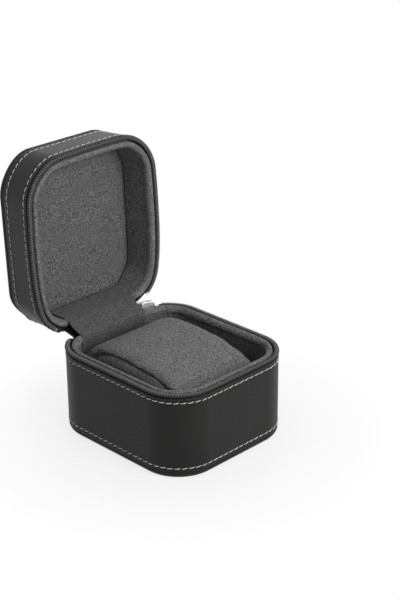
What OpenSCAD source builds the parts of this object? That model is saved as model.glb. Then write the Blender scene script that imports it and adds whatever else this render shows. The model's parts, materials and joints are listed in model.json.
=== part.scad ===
// Travel case for one wrist watch: a leather-covered box with a zipped, hinged lid
// and a loose suede cushion. Millimetres. The origin is the middle of the base's
// underside, +Z is up, -Y is the front, and the lid hinges at the back (+Y).
// The lid is drawn shut and then turned to its open stop, where the case rests.

/* [Case] */
// Width across the case, along X
case_w = 90; // [84:1:96]
// Depth from front to back, along Y
case_d = 101; // [95:1:107]
// Plan radius of the four upright corners
corner_r = 23; // [21:1:26]
// Height of the base's leather edge
base_h = 46.8; // [45:0.2:48]
// Height of the shut lid's leather edge above the base's
rim_gap = 6; // [5.6:0.2:6.4]
// Height of the shut lid's side leather
lid_side_h = 23; // [22:0.2:26]
// Rise of the lid's panel over its seam, at the middle of the dome
dome_h = 5.3; // [4.6:0.1:6]

/* [Walls] */
// Leather thickness
leather_t = 1; // [0.8:0.1:1.2]
// Board thickness
board_t = 2; // [1.6:0.1:2.4]
// Foam behind the wall lining
wall_foam_t = 2.2; // [1.8:0.1:2.6]
// Suede lining thickness
suede_t = 1; // [0.8:0.1:1.2]
// Rolled edge round the underside
bottom_roll_r = 3; // [2.6:0.1:3.4]
// Foam under the floor's lining
floor_foam_t = 2.8; // [2:0.1:3.2]

/* [Hinge] */
// Lid angle at the open stop
lid_open = 92.3; // [88:0.1:95]
// Fold line's distance outside the back leather
fold_out = 1; // [0.8:0.1:1.2]
// Fold line's height
fold_z = 46.6; // [46.4:0.1:46.8]
// Width of the two hinge strips
hinge_w = 43; // [36:1:43]

/* [Zipper] */
// Teeth radius
teeth_r = 0.55; // [0.45:0.05:0.6]
// Corner angle left free of teeth at each end of the hinge
zip_gap_a = 33; // [30:1:40]
// Slider length along the rim
slider_l = 10; // [8:0.5:10.5]
// Slider's place on the corner, measured from the back
slider_a = 14; // [13:0.5:16]

/* [Cushion] */
// Cushion length between its end panels
cushion_l = 54; // [48:1:56]
// Cushion depth, front to back
cushion_d = 86.4; // [80:0.2:86.6]
// Height of the cushion's middle above its underside
cushion_mid = 22; // [19:0.5:22.5]
// Height of the crown above the cushion's middle
cushion_crown = 22.1; // [19:0.1:23]
// Rise of the cushion's top from front to back, per millimetre
cushion_tilt = 0.08; // [0:0.01:0.1]

/* [Stitching] */
// Distance from one stitch to the next
stitch_pitch = 3.9; // [3.6:0.1:4.4]
// Length of one stitch
stitch_l = 3; // [2.6:0.1:3.2]
// Thread radius
thread_r = 0.3; // [0.25:0.05:0.35]

/* [Hidden] */
$fn = 48;
fit = 0.01;
clear = 0.3;

side_x = case_w / 2 - corner_r;          // plan centres of the corner arcs
side_y = case_d / 2 - corner_r;
lid_edge = base_h + rim_gap;             // shut lid's leather edge
mate_z = base_h + rim_gap / 2;           // plane in which the two rims meet
seam_z = lid_edge + lid_side_h;          // seam between lid side and panel
fold_y = case_d / 2 + fold_out;
flap_low_z = fold_z - 4;                 // lower edge of the hinge's lining

board_in = leather_t + board_t;          // depths from the outer leather face
foam_in = board_in + wall_foam_t;
wall_in = foam_in + suede_t;
lid_floor_z = fold_z + fold_out + wall_in - 0.1;  // open lid's lining over the hinge
board_top = base_h - 1.2;                // the lining's lip stands on this level
lid_wall_low = 2 * mate_z - board_top;   // the same level in the shut lid

lip_out = 2.85;                          // lip's outer face, in from the leather
lip_in = wall_in;
lip_r = (lip_in - lip_out) / 2;
lip_top = mate_z - 0.5;
lip_end_a = 20;                          // corner angle where the lid's lip starts

floor_z = leather_t + board_t + 0.2;     // board's upper face
floor_pad_z = floor_z + floor_foam_t;
floor_lining_z = floor_pad_z + 0.8;

teeth_in = 1.2;                          // teeth centre, in from the leather
teeth_gap = 1.1;                         // between the two rows when shut
teeth_z = mate_z - teeth_gap / 2 - teeth_r;
teeth_foot = teeth_z - teeth_r + 0.05;   // the tape's upper edge under the teeth
tape_low = board_top;
tape_bulge = 0.3;                        // reach of the tape past the leather

panel_t = 1.1;                           // lid panel leather
panel_roll_r = 1.3;
panel_proud = 0.3;                       // panel's rolled edge stands out past the side
lid_board_top = seam_z - 0.6;
lid_board_z = lid_board_top - board_t;
lid_pad_t = 2.6;
panel_lining_t = 0.8;
lid_lining_z = lid_board_z - lid_pad_t - panel_lining_t;
dome_flat_in = 21;
emboss_r = 19;                           // round dent pressed into the lid's lining
emboss_deep = 0.3;

slider_span = slider_l / corner_r * 180 / PI;
plate_out = [0.8, 1.8];                  // outer plate, out from the leather
plate_in = [1.95, 2.55];                 // inner plate, in from the leather
plate_low = base_h - 0.8;
plate_top = fold_z + 5.5;
inner_plate_half = 1.5;
web_t = 0.6;

bridge_w = 2.2;
bridge_t = 0.8;
bridge_out = 3.9;
bar_r = 0.5;
pull_off = 2.45;                         // pull's plane, out from the leather
pull_z = base_h + 1.4;                   // axis of the link's upper bar
link_h = 8.4;
link_w = 6;
link_hole_w = 3.6;
link_bar_w = (link_w - link_hole_w) / 2;
link_t = 1;
tab_z = pull_z - link_h;
tab_eye_r = 1.15;
tab_eye_w = 3.2;
tab_bore_r = bar_r + 0.08;
tab_neck_l = 3;
tab_l = 14.6;
tab_w = 7.6;
tab_t = 1.2;
tab_window = [3.4, 5.2];
tab_foot = 2;                            // material under the tab's window
tab_corner_r = 1.2;
tab_shoulder = tab_eye_r + tab_neck_l;   // top of the tab's wide part, down from its eye

cushion_z = floor_lining_z + clear;
cushion_n = 2.5;                         // roundness of the cushion's section
end_in = 7.3;                            // end panel's outline, in from front and back
end_low = 1.2;                           // the same, down from the crown
shoulder = 3.4;                          // cover's roll outside each end panel
shoulder_l = 5;                          // length over which the roll starts
shoulder_low = 5;                        // roll's fall at the underside
panel_deep = 1.6;                        // end panel lies this deep inside the roll
panel_in = 2;                            // roll's width round the end panel
end_t = 0.95;                            // end panel's thickness
core_in = [6, 11];                       // core's ends and sides, in from the cover's
core_z = 8;                              // core's underside, up from the cover's
core_h = 24;

stitch_low_z = 6;
stitch_high_z = base_h - 2.4;
lid_stitch_low_z = lid_edge + 2;
lid_stitch_high_z = seam_z - 4.8;
top_stitch_in = 3.6;

black = [0.09, 0.088, 0.086];
trim = [0.16, 0.16, 0.165];
suede = [0.42, 0.42, 0.43];
board = [0.55, 0.5, 0.42];
foam = [0.72, 0.72, 0.7];
thread = [0.82, 0.8, 0.77];
metal = [0.75, 0.75, 0.77];

// ---------------------------------------------------------------- shared shapes

// Carries a profile round the case's plan. In the profile, X is the distance out
// from the leather face and Y is the height.
module rim_sweep() {
    for (k = [0:3])
        rotate([0, 0, 90 * k])
            straight_run(k % 2 == 0 ? case_w / 2 : case_d / 2,
                         k % 2 == 0 ? 2 * side_y : 2 * side_x)
                children();
    for (k = [0:3])
        corner_run(k, 0, 90) children();
}

module straight_run(reach, run) {
    rotate([90, 0, 0])
        linear_extrude(run, center = true)
            translate([reach, 0]) children();
}

// Corner k counts from the back right one, anticlockwise seen from above.
module corner_run(k, from, angle) {
    sx = k == 0 || k == 3 ? side_x : -side_x;
    sy = k < 2 ? side_y : -side_y;
    translate([sx, sy, 0])
        rotate([0, 0, 90 * k + from])
            rotate_extrude(angle = angle, $fn = 96)
                translate([corner_r, 0]) children();
}

// The same, but open at the back: it starts and ends at an angle on the back corners.
module zip_sweep(gap) {
    for (k = [0, 2, 3])
        rotate([0, 0, 90 * k])
            straight_run(k % 2 == 0 ? case_w / 2 : case_d / 2,
                         k % 2 == 0 ? 2 * side_y : 2 * side_x)
                children();
    corner_run(0, 0, 90 - gap) children();
    corner_run(1, gap, 90 - gap) children();
    for (k = [2, 3])
        corner_run(k, 0, 90) children();
}

// The case's plan, drawn in by a margin.
module plan(inset) {
    r = corner_r - inset;
    square([2 * side_x, case_d - 2 * inset], center = true);
    square([case_w - 2 * inset, 2 * side_y], center = true);
    for (sx = [-1, 1], sy = [-1, 1])
        translate([sx * side_x, sy * side_y]) circle(r, $fn = 96);
}

module slab(inset, z0, z1) {
    translate([0, 0, z0])
        linear_extrude(z1 - z0) plan(inset);
}

module band(x0, x1, y0, y1) {
    translate([x0, y0]) square([x1 - x0, y1 - y0]);
}

// A pad's round-topped section: a band with a roll along its upper edge.
module lip_profile() {
    intersection() {
        band(-lip_in, -lip_out, board_top, lip_top);
        union() {
            translate([-lip_out - lip_r, lip_top - lip_r]) circle(lip_r);
            band(-lip_in, -lip_out, board_top, lip_top - lip_r);
        }
    }
}

module tape_profile() {
    polygon([
        [-leather_t - 0.6, tape_low], [-leather_t - 0.1, tape_low],
        [-leather_t - 0.1, base_h + 0.45], [-0.2, base_h + 0.55],
        [tape_bulge, base_h + 0.95], [tape_bulge - 0.2, teeth_foot],
        [-leather_t - 0.6, teeth_foot],
    ]);
}

module tape_end_profile() {
    band(-leather_t - 0.6, -leather_t - 0.1, tape_low, base_h + 0.6);
}

module teeth_profile() {
    translate([-teeth_in, teeth_z + 0.06]) circle(teeth_r);
}

module stop_profile() {
    band(-teeth_in - teeth_r, 0.2, teeth_z - teeth_r + 0.06, teeth_z + teeth_r);
}

// Mirrors what is drawn on the base's rim over to the shut lid's rim.
module over_rim() {
    translate([0, 0, 2 * mate_z]) mirror([0, 0, 1]) children();
}

// Turns the shut lid back to its open stop.
module opened() {
    translate([0, fold_y, fold_z])
        rotate([-lid_open, 0, 0])
            translate([0, -fold_y, -fold_z]) children();
}

// One stitch per pitch along a level line round the sides.
module stitch_row(z, out) {
    run_x = floor(2 * side_x / stitch_pitch);
    run_y = floor(2 * side_y / stitch_pitch);
    arc = (corner_r + out) * PI / 2;
    run_arc = floor(arc / stitch_pitch);
    for (s = [-1, 1], i = [0:run_x - 1])
        translate([(i + 0.5) * 2 * side_x / run_x - side_x, s * (case_d / 2 + out), z])
            rotate([0, 90, 0]) stitch();
    for (s = [-1, 1], i = [0:run_y - 1])
        translate([s * (case_w / 2 + out), (i + 0.5) * 2 * side_y / run_y - side_y, z])
            rotate([90, 0, 0]) stitch();
    for (k = [0:3], i = [0:run_arc - 1])
        translate([k == 0 || k == 3 ? side_x : -side_x, k < 2 ? side_y : -side_y, z])
            rotate([0, 0, 90 * k + (i + 0.5) * 90 / run_arc])
                translate([corner_r + out, 0, 0])
                    rotate([90, 0, 0]) stitch();
}

module stitch() {
    cylinder(h = stitch_l, r = thread_r, center = true, $fn = 16);
}

// ------------------------------------------------------------------------- base

module base_bottom_cover() {
    color(black) difference() {
        union() {
            rim_sweep() intersection() {
                translate([-bottom_roll_r, bottom_roll_r]) circle(bottom_roll_r);
                band(-bottom_roll_r, 0, 0, bottom_roll_r);
            }
            slab(bottom_roll_r, 0, bottom_roll_r);
        }
        slab(leather_t, floor_z - board_t, bottom_roll_r + 1);
    }
}

module base_bottom_board() {
    color(board) slab(leather_t + fit, floor_z - board_t, floor_z);
}

module base_wall_board() {
    color(board) rim_sweep()
        band(-board_in, -leather_t - fit, floor_z, board_top);
}

module base_side_leather() {
    color(black) rim_sweep() {
        band(-leather_t, 0, bottom_roll_r, base_h - leather_t / 2);
        translate([-leather_t / 2, base_h - leather_t / 2]) circle(leather_t / 2);
    }
}

module base_wall_foam() {
    color(foam) rim_sweep()
        band(-foam_in, -board_in, floor_z, board_top);
}

module base_wall_lining() {
    color(suede) rim_sweep()
        band(-wall_in, -foam_in, floor_lining_z, board_top);
}

module base_floor_pad() {
    color(foam) slab(foam_in, floor_z, floor_pad_z);
}

module base_floor_lining() {
    color(suede) slab(foam_in, floor_pad_z, floor_lining_z);
}

module base_rim_lip() {
    color(suede) rim_sweep() lip_profile();
}

module base_zipper_tape() {
    color(trim) zip_sweep(zip_gap_a) tape_profile();
}

module base_zipper_teeth() {
    color(trim) zip_sweep(zip_gap_a + 3) teeth_profile();
}

module zipper_stops() {
    corner_run(0, 90 - zip_gap_a - 2.9, 2.8) stop_profile();
    corner_run(1, zip_gap_a + 0.1, 2.8) stop_profile();
}

module base_zipper_stops() {
    color(metal) zipper_stops();
}

module base_stitches_lower() {
    color(thread) stitch_row(stitch_low_z, thread_r + fit);
}

module base_stitches_upper() {
    color(thread) stitch_row(stitch_high_z, thread_r + fit);
}

// ------------------------------------------------------------------------ hinge

// Both strips are shown as they lie with the lid open, bent over the fold.
module hinge_leather_strip() {
    edge_y = fold_y + lid_edge - fold_z - 0.2;   // the open lid's leather edge
    color(black) translate([-hinge_w / 2, 0, 0]) rotate([90, 0, 90])
        linear_extrude(hinge_w) polygon([
            [case_d / 2 - 0.9, base_h + 0.1], [case_d / 2 - 0.1, base_h + 0.1],
            [case_d / 2 + 0.5, base_h + 0.5], [case_d / 2 + 2.6, base_h + 1.4],
            [edge_y, fold_z + 1.1], [edge_y, fold_z + 1.9],
            [case_d / 2 + 2.4, base_h + 2.2], [case_d / 2 - 0.2, base_h + 1.2],
        ]);
}

module hinge_lining_flap() {
    y0 = case_d / 2 - wall_in - 0.7;
    color(suede) translate([-hinge_w / 2, 0, 0]) rotate([90, 0, 90])
        linear_extrude(hinge_w) polygon([
            [y0, flap_low_z], [y0 + 0.5, flap_low_z], [y0 + 0.5, lip_top - 1.2],
            [y0 + 0.95, lip_top + 0.3], [y0 + 3.6, lip_top + 1.2], [y0 + 8, lip_top + 3.2],
            [fold_y + 5.5, lid_floor_z], [fold_y + 11, lid_floor_z - 0.2],
            [fold_y + 11, lid_floor_z + 0.5], [fold_y + 5.4, lid_floor_z + 0.7],
            [y0 + 7.6, lip_top + 3.9], [y0 + 3.2, lip_top + 1.9], [y0 + 0.4, lip_top + 0.7],
            [y0, lip_top - 1.2],
        ]);
}

// The tape's two ends run on, below the slider, from the teeth to the hinge strips.
module zipper_tape_ends() {
    color(trim) {
        corner_run(0, 90 - zip_gap_a + 0.1, zip_gap_a - 1) tape_end_profile();
        corner_run(1, 1, zip_gap_a - 1.1) tape_end_profile();
    }
}

// -------------------------------------------------------------------------- lid

module lid_side_leather() {
    color(black) opened() rim_sweep() {
        band(-leather_t, 0, lid_edge + leather_t / 2, seam_z);
        translate([-leather_t / 2, lid_edge + leather_t / 2]) circle(leather_t / 2);
    }
}

// The dome's section: an arc that is level at its inner end and falls to the rim. The
// leather lies between two such lines and the foam fills the space below them.
dome_rise = dome_h - 2 * panel_roll_r + 0.6;
dome_reach = dome_flat_in - 3;
dome_r = (dome_reach * dome_reach + dome_rise * dome_rise) / (2 * dome_rise);
dome_top = seam_z + dome_h;

// Height of the dome's surface at a depth in from the leather.
function dome_z(inset) =
    dome_top - dome_r + sqrt(dome_r * dome_r - pow(dome_flat_in - inset, 2));

// Points along the dome, from a depth in from the leather to its level middle.
function dome_line(from, drop, n = 14) = concat(
    [for (i = [0:n]) let (u = from + (dome_flat_in - from) * i / n) [-u, dome_z(u) - drop]],
    [[-dome_flat_in - 1, dome_top - drop]]
);

function turned_round(points) = [for (i = [len(points) - 1:-1:0]) points[i]];

module lid_top_panel() {
    color(black) opened() {
        rim_sweep() {
            polygon(concat(dome_line(panel_roll_r, 0), turned_round(dome_line(panel_roll_r, panel_t))));
            translate([-panel_roll_r + panel_proud, seam_z + panel_roll_r + 0.05])
                circle(panel_roll_r);
        }
        slab(dome_flat_in + 0.5, dome_top - panel_t, dome_top);
    }
}

module lid_top_foam() {
    top = dome_line(2 * panel_roll_r + 0.1, panel_t + fit);
    color(foam) opened() {
        rim_sweep()
            polygon(concat(top, [[top[len(top) - 1][0], lid_board_top], [top[0][0], lid_board_top]]));
        slab(dome_flat_in + 0.5, lid_board_top, dome_top - panel_t - fit);
    }
}

module lid_top_board() {
    color(board) opened() slab(leather_t + fit, lid_board_z, lid_board_top);
}

module lid_wall_board() {
    color(board) opened() rim_sweep()
        band(-board_in, -leather_t - fit, lid_wall_low, lid_board_z);
}

module lid_wall_foam() {
    color(foam) opened() rim_sweep()
        band(-foam_in, -board_in, lid_wall_low, lid_board_z);
}

module lid_pad() {
    color(foam) opened() slab(foam_in, lid_board_z - lid_pad_t, lid_board_z);
}

module lid_panel_lining() {
    color(suede) opened() difference() {
        slab(foam_in, lid_lining_z, lid_board_z - lid_pad_t);
        translate([0, 0, lid_lining_z - 1])
            cylinder(h = 1 + emboss_deep, r = emboss_r, $fn = 96);
    }
}

module lid_wall_lining() {
    color(suede) opened() rim_sweep()
        band(-wall_in, -foam_in, lid_wall_low, lid_lining_z);
}

module lid_rim_lip() {
    color(suede) opened() over_rim() {
        zip_sweep(lip_end_a) lip_profile();
    }
}

module lid_zipper_tape() {
    color(trim) opened() over_rim() zip_sweep(zip_gap_a) tape_profile();
}

module lid_zipper_teeth() {
    color(trim) opened() over_rim() zip_sweep(zip_gap_a + 3) teeth_profile();
}

module lid_zipper_stops() {
    color(metal) opened() over_rim() zipper_stops();
}

module lid_stitches_lower() {
    color(thread) opened() stitch_row(lid_stitch_low_z, thread_r + fit);
}

module lid_stitches_upper() {
    color(thread) opened() stitch_row(lid_stitch_high_z, thread_r + fit);
}

module lid_stitches_top() {
    // the panel's own row, laid on the dome just inside its rolled edge
    color(thread) opened() stitch_row(dome_z(top_stitch_in) + thread_r + 0.05, -top_stitch_in);
}

// ---------------------------------------------------------------------- cushion

// Half-height of the cushion's section at a distance y from its middle.
function bow(y, half) = pow(max(0, 1 - pow(abs(y) / half, cushion_n)), 1 / cushion_n);

// How full the section is at a distance x from the middle: 1 over most of the
// length, drawn in round the shoulders.
function fill(x) =
    let (t = max(0, abs(x) - (cushion_l / 2 - shoulder_l)) / (shoulder_l + shoulder))
    sqrt(max(0, 1 - t * t));

// The crown swells towards the middle of the length.
function crown(x) = cushion_crown * (0.955 + 0.045 * cos(90 * x / (cushion_l / 2 + shoulder)));

function section_point(x, a) =
    let (
        draw = 1 - fill(x),
        half = cushion_d / 2 - end_in * draw,
        up = crown(x) - (end_low + panel_in) * draw,
        down = cushion_mid - shoulder_low * draw,
        y = half * sign(cos(a)) * pow(abs(cos(a)), 2 / cushion_n),
        s = sign(sin(a)) * pow(abs(sin(a)), 2 / cushion_n),
        z = s > 0 ? s * up : s * down
    )
    [x, y, cushion_z + cushion_mid + z + (s > 0 ? cushion_tilt * y * s : 0)];

module cushion_form() {
    n = 44;
    // shares of the half-length at which sections stand, closer together at the shoulders
    stations = [-1, -0.975, -0.93, -0.87, -0.8, -0.6, -0.3, 0, 0.3, 0.6, 0.8, 0.87, 0.93, 0.975, 1];
    m = len(stations);
    reach = cushion_l / 2 + shoulder - 0.6;
    points = [for (u = stations, i = [0:n - 1]) section_point(u * reach, 360 * i / n)];
    sides = [for (j = [0:m - 2], i = [0:n - 1]) let (i2 = (i + 1) % n)
        each [[j * n + i, (j + 1) * n + i2, j * n + i2], [j * n + i, (j + 1) * n + i, (j + 1) * n + i2]]];
    cap0 = [for (i = [0:n - 1]) i];
    cap1 = [for (i = [n - 1:-1:0]) (m - 1) * n + i];
    polyhedron(points, concat(sides, [cap0, cap1]));
}

// The end panel's outline, drawn in the YZ plane and given a thickness along X.
module end_panel_shape(x0, x1, grow) {
    n = 40;
    half = cushion_d / 2 - end_in + grow;
    pts = [for (i = [0:n - 1]) let (
        a = 360 * i / n,
        y = half * sign(cos(a)) * pow(abs(cos(a)), 2 / cushion_n),
        s = sign(sin(a)) * pow(abs(sin(a)), 2 / cushion_n),
        z = s > 0 ? s * (cushion_crown - end_low - panel_in + grow)
            : s * (cushion_mid - shoulder_low + grow)
    ) [y, cushion_z + cushion_mid + z + (s > 0 ? cushion_tilt * y * s : 0)]];
    translate([x0, 0, 0]) rotate([90, 0, 90]) linear_extrude(x1 - x0) polygon(pts);
}

module cushion_cover() {
    reach = cushion_l / 2 + shoulder;
    color(suede) difference() {
        cushion_form();
        for (s = [0, 1]) mirror([s, 0, 0])
            end_panel_shape(reach - panel_deep - end_t - 0.05, reach + 1, -panel_in);
        core_space(0.05);
    }
}

module core_space(grow) {
    size = [cushion_l - 2 * core_in[0], cushion_d - 2 * core_in[1], core_h];
    translate([-size[0] / 2 - grow, -size[1] / 2 - grow, cushion_z + core_z - grow])
        cube(size + [2, 2, 2] * grow);
}

module cushion_core() {
    color(foam) core_space(0);
}

module cushion_end_panels() {
    reach = cushion_l / 2 + shoulder;
    color([0.3, 0.3, 0.31]) for (s = [0, 1]) mirror([s, 0, 0])
        end_panel_shape(reach - panel_deep - end_t, reach - panel_deep, -panel_in - 0.15);
}

// --------------------------------------------------------------- slider and pull

// Places a shape drawn at the slider: X out from the leather, Y along the rim.
module at_slider() {
    translate([side_x, side_y, 0])
        rotate([0, 0, 90 - slider_a])
            translate([corner_r, 0, 0]) children();
}

module slider_arc(x0, x1, z0, z1, span) {
    translate([side_x, side_y, 0])
        rotate([0, 0, 90 - slider_a - span / 2])
            rotate_extrude(angle = span, $fn = 96)
                translate([corner_r, 0]) band(x0, x1, z0, z1);
}

module slider_body() {
    color(metal) union() {
        slider_arc(plate_out[0], plate_out[1], plate_low, plate_top, slider_span);
        slider_arc(-plate_in[1], -plate_in[0], mate_z - inner_plate_half,
                   mate_z + inner_plate_half, slider_span);
        slider_arc(-plate_in[0] - 0.1, plate_out[0] + 0.1, mate_z - web_t / 2,
                   mate_z + web_t / 2, slider_span * 0.3);
    }
}

module slider_bridge() {
    low = plate_low + 0.3;
    high = plate_top - 0.9;
    color(black) at_slider() rotate([90, 0, 0])
        linear_extrude(bridge_w, center = true) difference() {
            band(plate_out[1] + fit, bridge_out, low, high);
            band(plate_out[1] - 1, bridge_out - bridge_t, low + bridge_t, high - bridge_t);
        }
}

module pull_link() {
    color(black) at_slider() {
        for (z = [pull_z, tab_z])
            translate([pull_off, 0, z]) rotate([90, 0, 0])
                cylinder(h = link_hole_w + 0.4, r = bar_r, center = true);
        for (s = [-1, 1])
            translate([pull_off, s * (link_hole_w + link_bar_w) / 2, 0]) rotate([90, 0, 0])
                linear_extrude(link_bar_w, center = true) {
                    translate([-link_t / 2, tab_z]) square([link_t, link_h]);
                    for (z = [pull_z, tab_z]) translate([0, z]) circle(link_t / 2);
                }
    }
}

module pull_tab() {
    color(black) at_slider() translate([pull_off, 0, tab_z]) difference() {
        union() {
            rotate([90, 0, 0]) cylinder(h = tab_eye_w, r = tab_eye_r, center = true);
            translate([0, 0, -tab_eye_r - tab_neck_l / 2])
                cube([tab_t, tab_eye_w, tab_neck_l + 1.6], center = true);
            rotate([90, 0, 90]) linear_extrude(tab_t, center = true) {
                translate([-tab_w / 2, -tab_l + tab_corner_r])
                    square([tab_w, tab_l - tab_shoulder - tab_corner_r]);
                translate([-tab_w / 2 + tab_corner_r, -tab_l])
                    square([tab_w - 2 * tab_corner_r, tab_corner_r + 0.1]);
                for (s = [-1, 1])
                    translate([s * (tab_w / 2 - tab_corner_r), -tab_l + tab_corner_r])
                        circle(tab_corner_r);
            }
        }
        rotate([90, 0, 0]) cylinder(h = tab_w, r = tab_bore_r, center = true);
        translate([0, 0, -tab_l + tab_foot + tab_window[1] / 2])
            cube([tab_t + 1, tab_window[0], tab_window[1]], center = true);
    }
}

base_bottom_cover();
base_bottom_board();
base_wall_board();
base_side_leather();
base_wall_foam();
base_wall_lining();
base_floor_pad();
base_floor_lining();
base_rim_lip();
base_zipper_tape();
base_zipper_teeth();
base_zipper_stops();
base_stitches_lower();
base_stitches_upper();
hinge_leather_strip();
hinge_lining_flap();
zipper_tape_ends();
lid_side_leather();
lid_top_panel();
lid_top_board();
lid_top_foam();
lid_wall_board();
lid_wall_foam();
lid_wall_lining();
lid_pad();
lid_panel_lining();
lid_rim_lip();
lid_zipper_tape();
lid_zipper_teeth();
lid_zipper_stops();
lid_stitches_lower();
lid_stitches_upper();
lid_stitches_top();
cushion_cover();
cushion_core();
cushion_end_panels();
slider_body();
slider_bridge();
pull_link();
pull_tab();
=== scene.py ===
"""Looks of a watch travel case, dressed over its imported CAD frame.

Every piece is a surface worked out with numpy in millimetres, in the CAD's own frame: the
origin is the middle of the base's underside, +Z is up, the opening side faces -Y and the
hinge is at the back. The lid is worked out shut and then laid back round its fold.
"""
from __future__ import annotations

import json
import logging
import math
from dataclasses import dataclass, field
from enum import Enum
from typing import Callable, Sequence

import bmesh
import bpy
import numpy as np
from mathutils import Matrix, Vector

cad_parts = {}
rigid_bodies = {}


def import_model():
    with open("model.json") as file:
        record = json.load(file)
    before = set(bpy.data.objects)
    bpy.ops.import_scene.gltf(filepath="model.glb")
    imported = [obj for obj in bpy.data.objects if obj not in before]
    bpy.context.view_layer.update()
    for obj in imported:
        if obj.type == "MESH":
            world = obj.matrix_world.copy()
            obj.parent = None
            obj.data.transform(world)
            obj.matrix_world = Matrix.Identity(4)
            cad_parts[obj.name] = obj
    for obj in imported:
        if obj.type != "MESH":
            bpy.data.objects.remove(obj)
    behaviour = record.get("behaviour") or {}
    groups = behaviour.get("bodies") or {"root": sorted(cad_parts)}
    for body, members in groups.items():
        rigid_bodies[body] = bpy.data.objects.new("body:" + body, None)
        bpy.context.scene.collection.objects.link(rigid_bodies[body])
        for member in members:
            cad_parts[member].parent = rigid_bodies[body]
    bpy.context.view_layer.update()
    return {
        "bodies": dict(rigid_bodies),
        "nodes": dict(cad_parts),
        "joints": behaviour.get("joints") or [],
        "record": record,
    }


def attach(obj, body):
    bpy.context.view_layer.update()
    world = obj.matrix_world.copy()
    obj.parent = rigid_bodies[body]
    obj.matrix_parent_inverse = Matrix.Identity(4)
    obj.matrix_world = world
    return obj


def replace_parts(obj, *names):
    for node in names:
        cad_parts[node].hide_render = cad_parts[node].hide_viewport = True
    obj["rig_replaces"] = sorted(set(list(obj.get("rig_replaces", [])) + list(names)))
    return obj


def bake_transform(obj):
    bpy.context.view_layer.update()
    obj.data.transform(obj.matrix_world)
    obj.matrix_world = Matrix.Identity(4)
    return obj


LOG = logging.getLogger("travel_case")
Array = np.ndarray
Colour = tuple[float, float, float]
Object, Tree = bpy.types.Object, bpy.types.NodeTree
Node, Socket = bpy.types.Node, bpy.types.NodeSocket
MM = 0.001
TAU = 2.0 * math.pi


# ---- shape of the case


@dataclass(frozen=True)
class CasePlan:
    """The case's outline seen from above: straight sides joined by equal corner arcs."""

    width: float = 90.0
    depth: float = 101.0
    corner: float = 23.0

    @property
    def half_x(self) -> float:
        """X of the corner arcs' centres."""
        return self.width / 2 - self.corner

    @property
    def half_y(self) -> float:
        """Y of the corner arcs' centres."""
        return self.depth / 2 - self.corner

    @property
    def length(self) -> float:
        """Length of the whole outline."""
        return 4 * self.half_x + 4 * self.half_y + TAU * self.corner

    def knots(self) -> tuple[Array, Array, Array, Array]:
        """Where straight runs and arcs meet.

        Returns:
            Distance along the outline from the middle of the back, anticlockwise; X and Y
            of the corner centre that serves there; and the direction of the normal.
        """
        hx, hy, arc = self.half_x, self.half_y, self.corner * math.pi / 2
        runs = np.array([hx, arc, 2 * hy, arc, 2 * hx, arc, 2 * hy, arc, hx])
        along = np.concatenate([[0.0], np.cumsum(runs)])
        core_x = np.array([0, -hx, -hx, -hx, -hx, hx, hx, hx, hx, 0.0])
        core_y = np.array([hy, hy, hy, -hy, -hy, -hy, -hy, hy, hy, hy])
        turn = np.radians([90, 90, 180, 180, 270, 270, 360, 360, 450, 450])
        return along, core_x, core_y, turn

    def at(self, s: Array) -> tuple[Array, Array]:
        """Outline points and outward normals at distances s along the outline.

        The point is the nearest corner centre plus the corner radius times the normal; on
        a straight run the centre moves and on an arc the normal turns.

        Args:
            s: Distances from the middle of the back, anticlockwise.

        Returns:
            Points and unit normals, each with a last axis of 2.
        """
        along, core_x, core_y, turn = self.knots()
        s = np.mod(np.asarray(s, float), self.length)
        angle = np.interp(s, along, turn)
        normal = np.stack([np.cos(angle), np.sin(angle)], -1)
        core = np.stack([np.interp(s, along, core_x), np.interp(s, along, core_y)], -1)
        return core + self.corner * normal, normal

    def stations(self, start: float, end: float, corner_step: float, side_step: float) -> Array:
        """Distances at which to cut the outline, with a cut wherever a run meets an arc.

        Args:
            start: First distance.
            end: Last distance.
            corner_step: Longest step on an arc.
            side_step: Longest step on a straight run.

        Returns:
            The distances in order, first and last included.
        """
        along, _, _, turn = self.knots()
        marks = np.unique(np.concatenate([[start, end], along[(along > start) & (along < end)]]))
        cuts = []
        for a, b in zip(marks[:-1], marks[1:]):
            bends = np.ptp(np.interp([a, b], along, turn)) > 1e-6
            count = math.ceil((b - a) / (corner_step if bends else side_step))
            cuts.append(np.linspace(a, b, count, endpoint=False))
        return np.concatenate(cuts + [[end]])

    def around(self, corner_step: float, side_step: float) -> Array:
        """Distances right round the outline, the start given once."""
        return self.stations(0, self.length, corner_step, side_step)[:-1]

    def swept(self, s: Array, profile: Array) -> Array:
        """Carries a profile round the outline.

        A point is the outline point plus its normal times the profile's first value, at
        the height of its second.

        Args:
            s: Distances along the outline, n of them.
            profile: (m, 2) or (n, m, 2) distances out from the leather and heights.

        Returns:
            Points, (n, m, 3).
        """
        point, normal = self.at(s)
        profile = np.broadcast_to(profile, (len(s),) + profile.shape[-2:])
        flat = point[:, None, :] + normal[:, None, :] * profile[..., :1]
        return np.concatenate([flat, profile[..., 1:]], -1)

    def inward(self, s: Array, inset: Array, height: Array, straight_to: float = 19.0) -> Array:
        """Carries a profile that reaches the middle of the case.

        Down to straight_to the outline is drawn in along its normals; from there it
        shrinks evenly on to the middle, which it reaches at half the width.

        Args:
            s: Distances along the outline, n of them.
            inset: (m,) depths in from the leather.
            height: (m,) or (n, m) heights.
            straight_to: Depth at which the even shrinking starts.

        Returns:
            Points, (n, m, 3).
        """
        point, normal = self.at(s)
        near = np.minimum(inset, straight_to)
        rest = 1 - np.clip((inset - straight_to) / (self.width / 2 - straight_to), 0, 1)
        flat = (point[:, None, :] - normal[:, None, :] * near[None, :, None]) * rest[None, :, None]
        height = np.broadcast_to(height, flat.shape[:2])
        return np.concatenate([flat, height[..., None]], -1)


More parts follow.
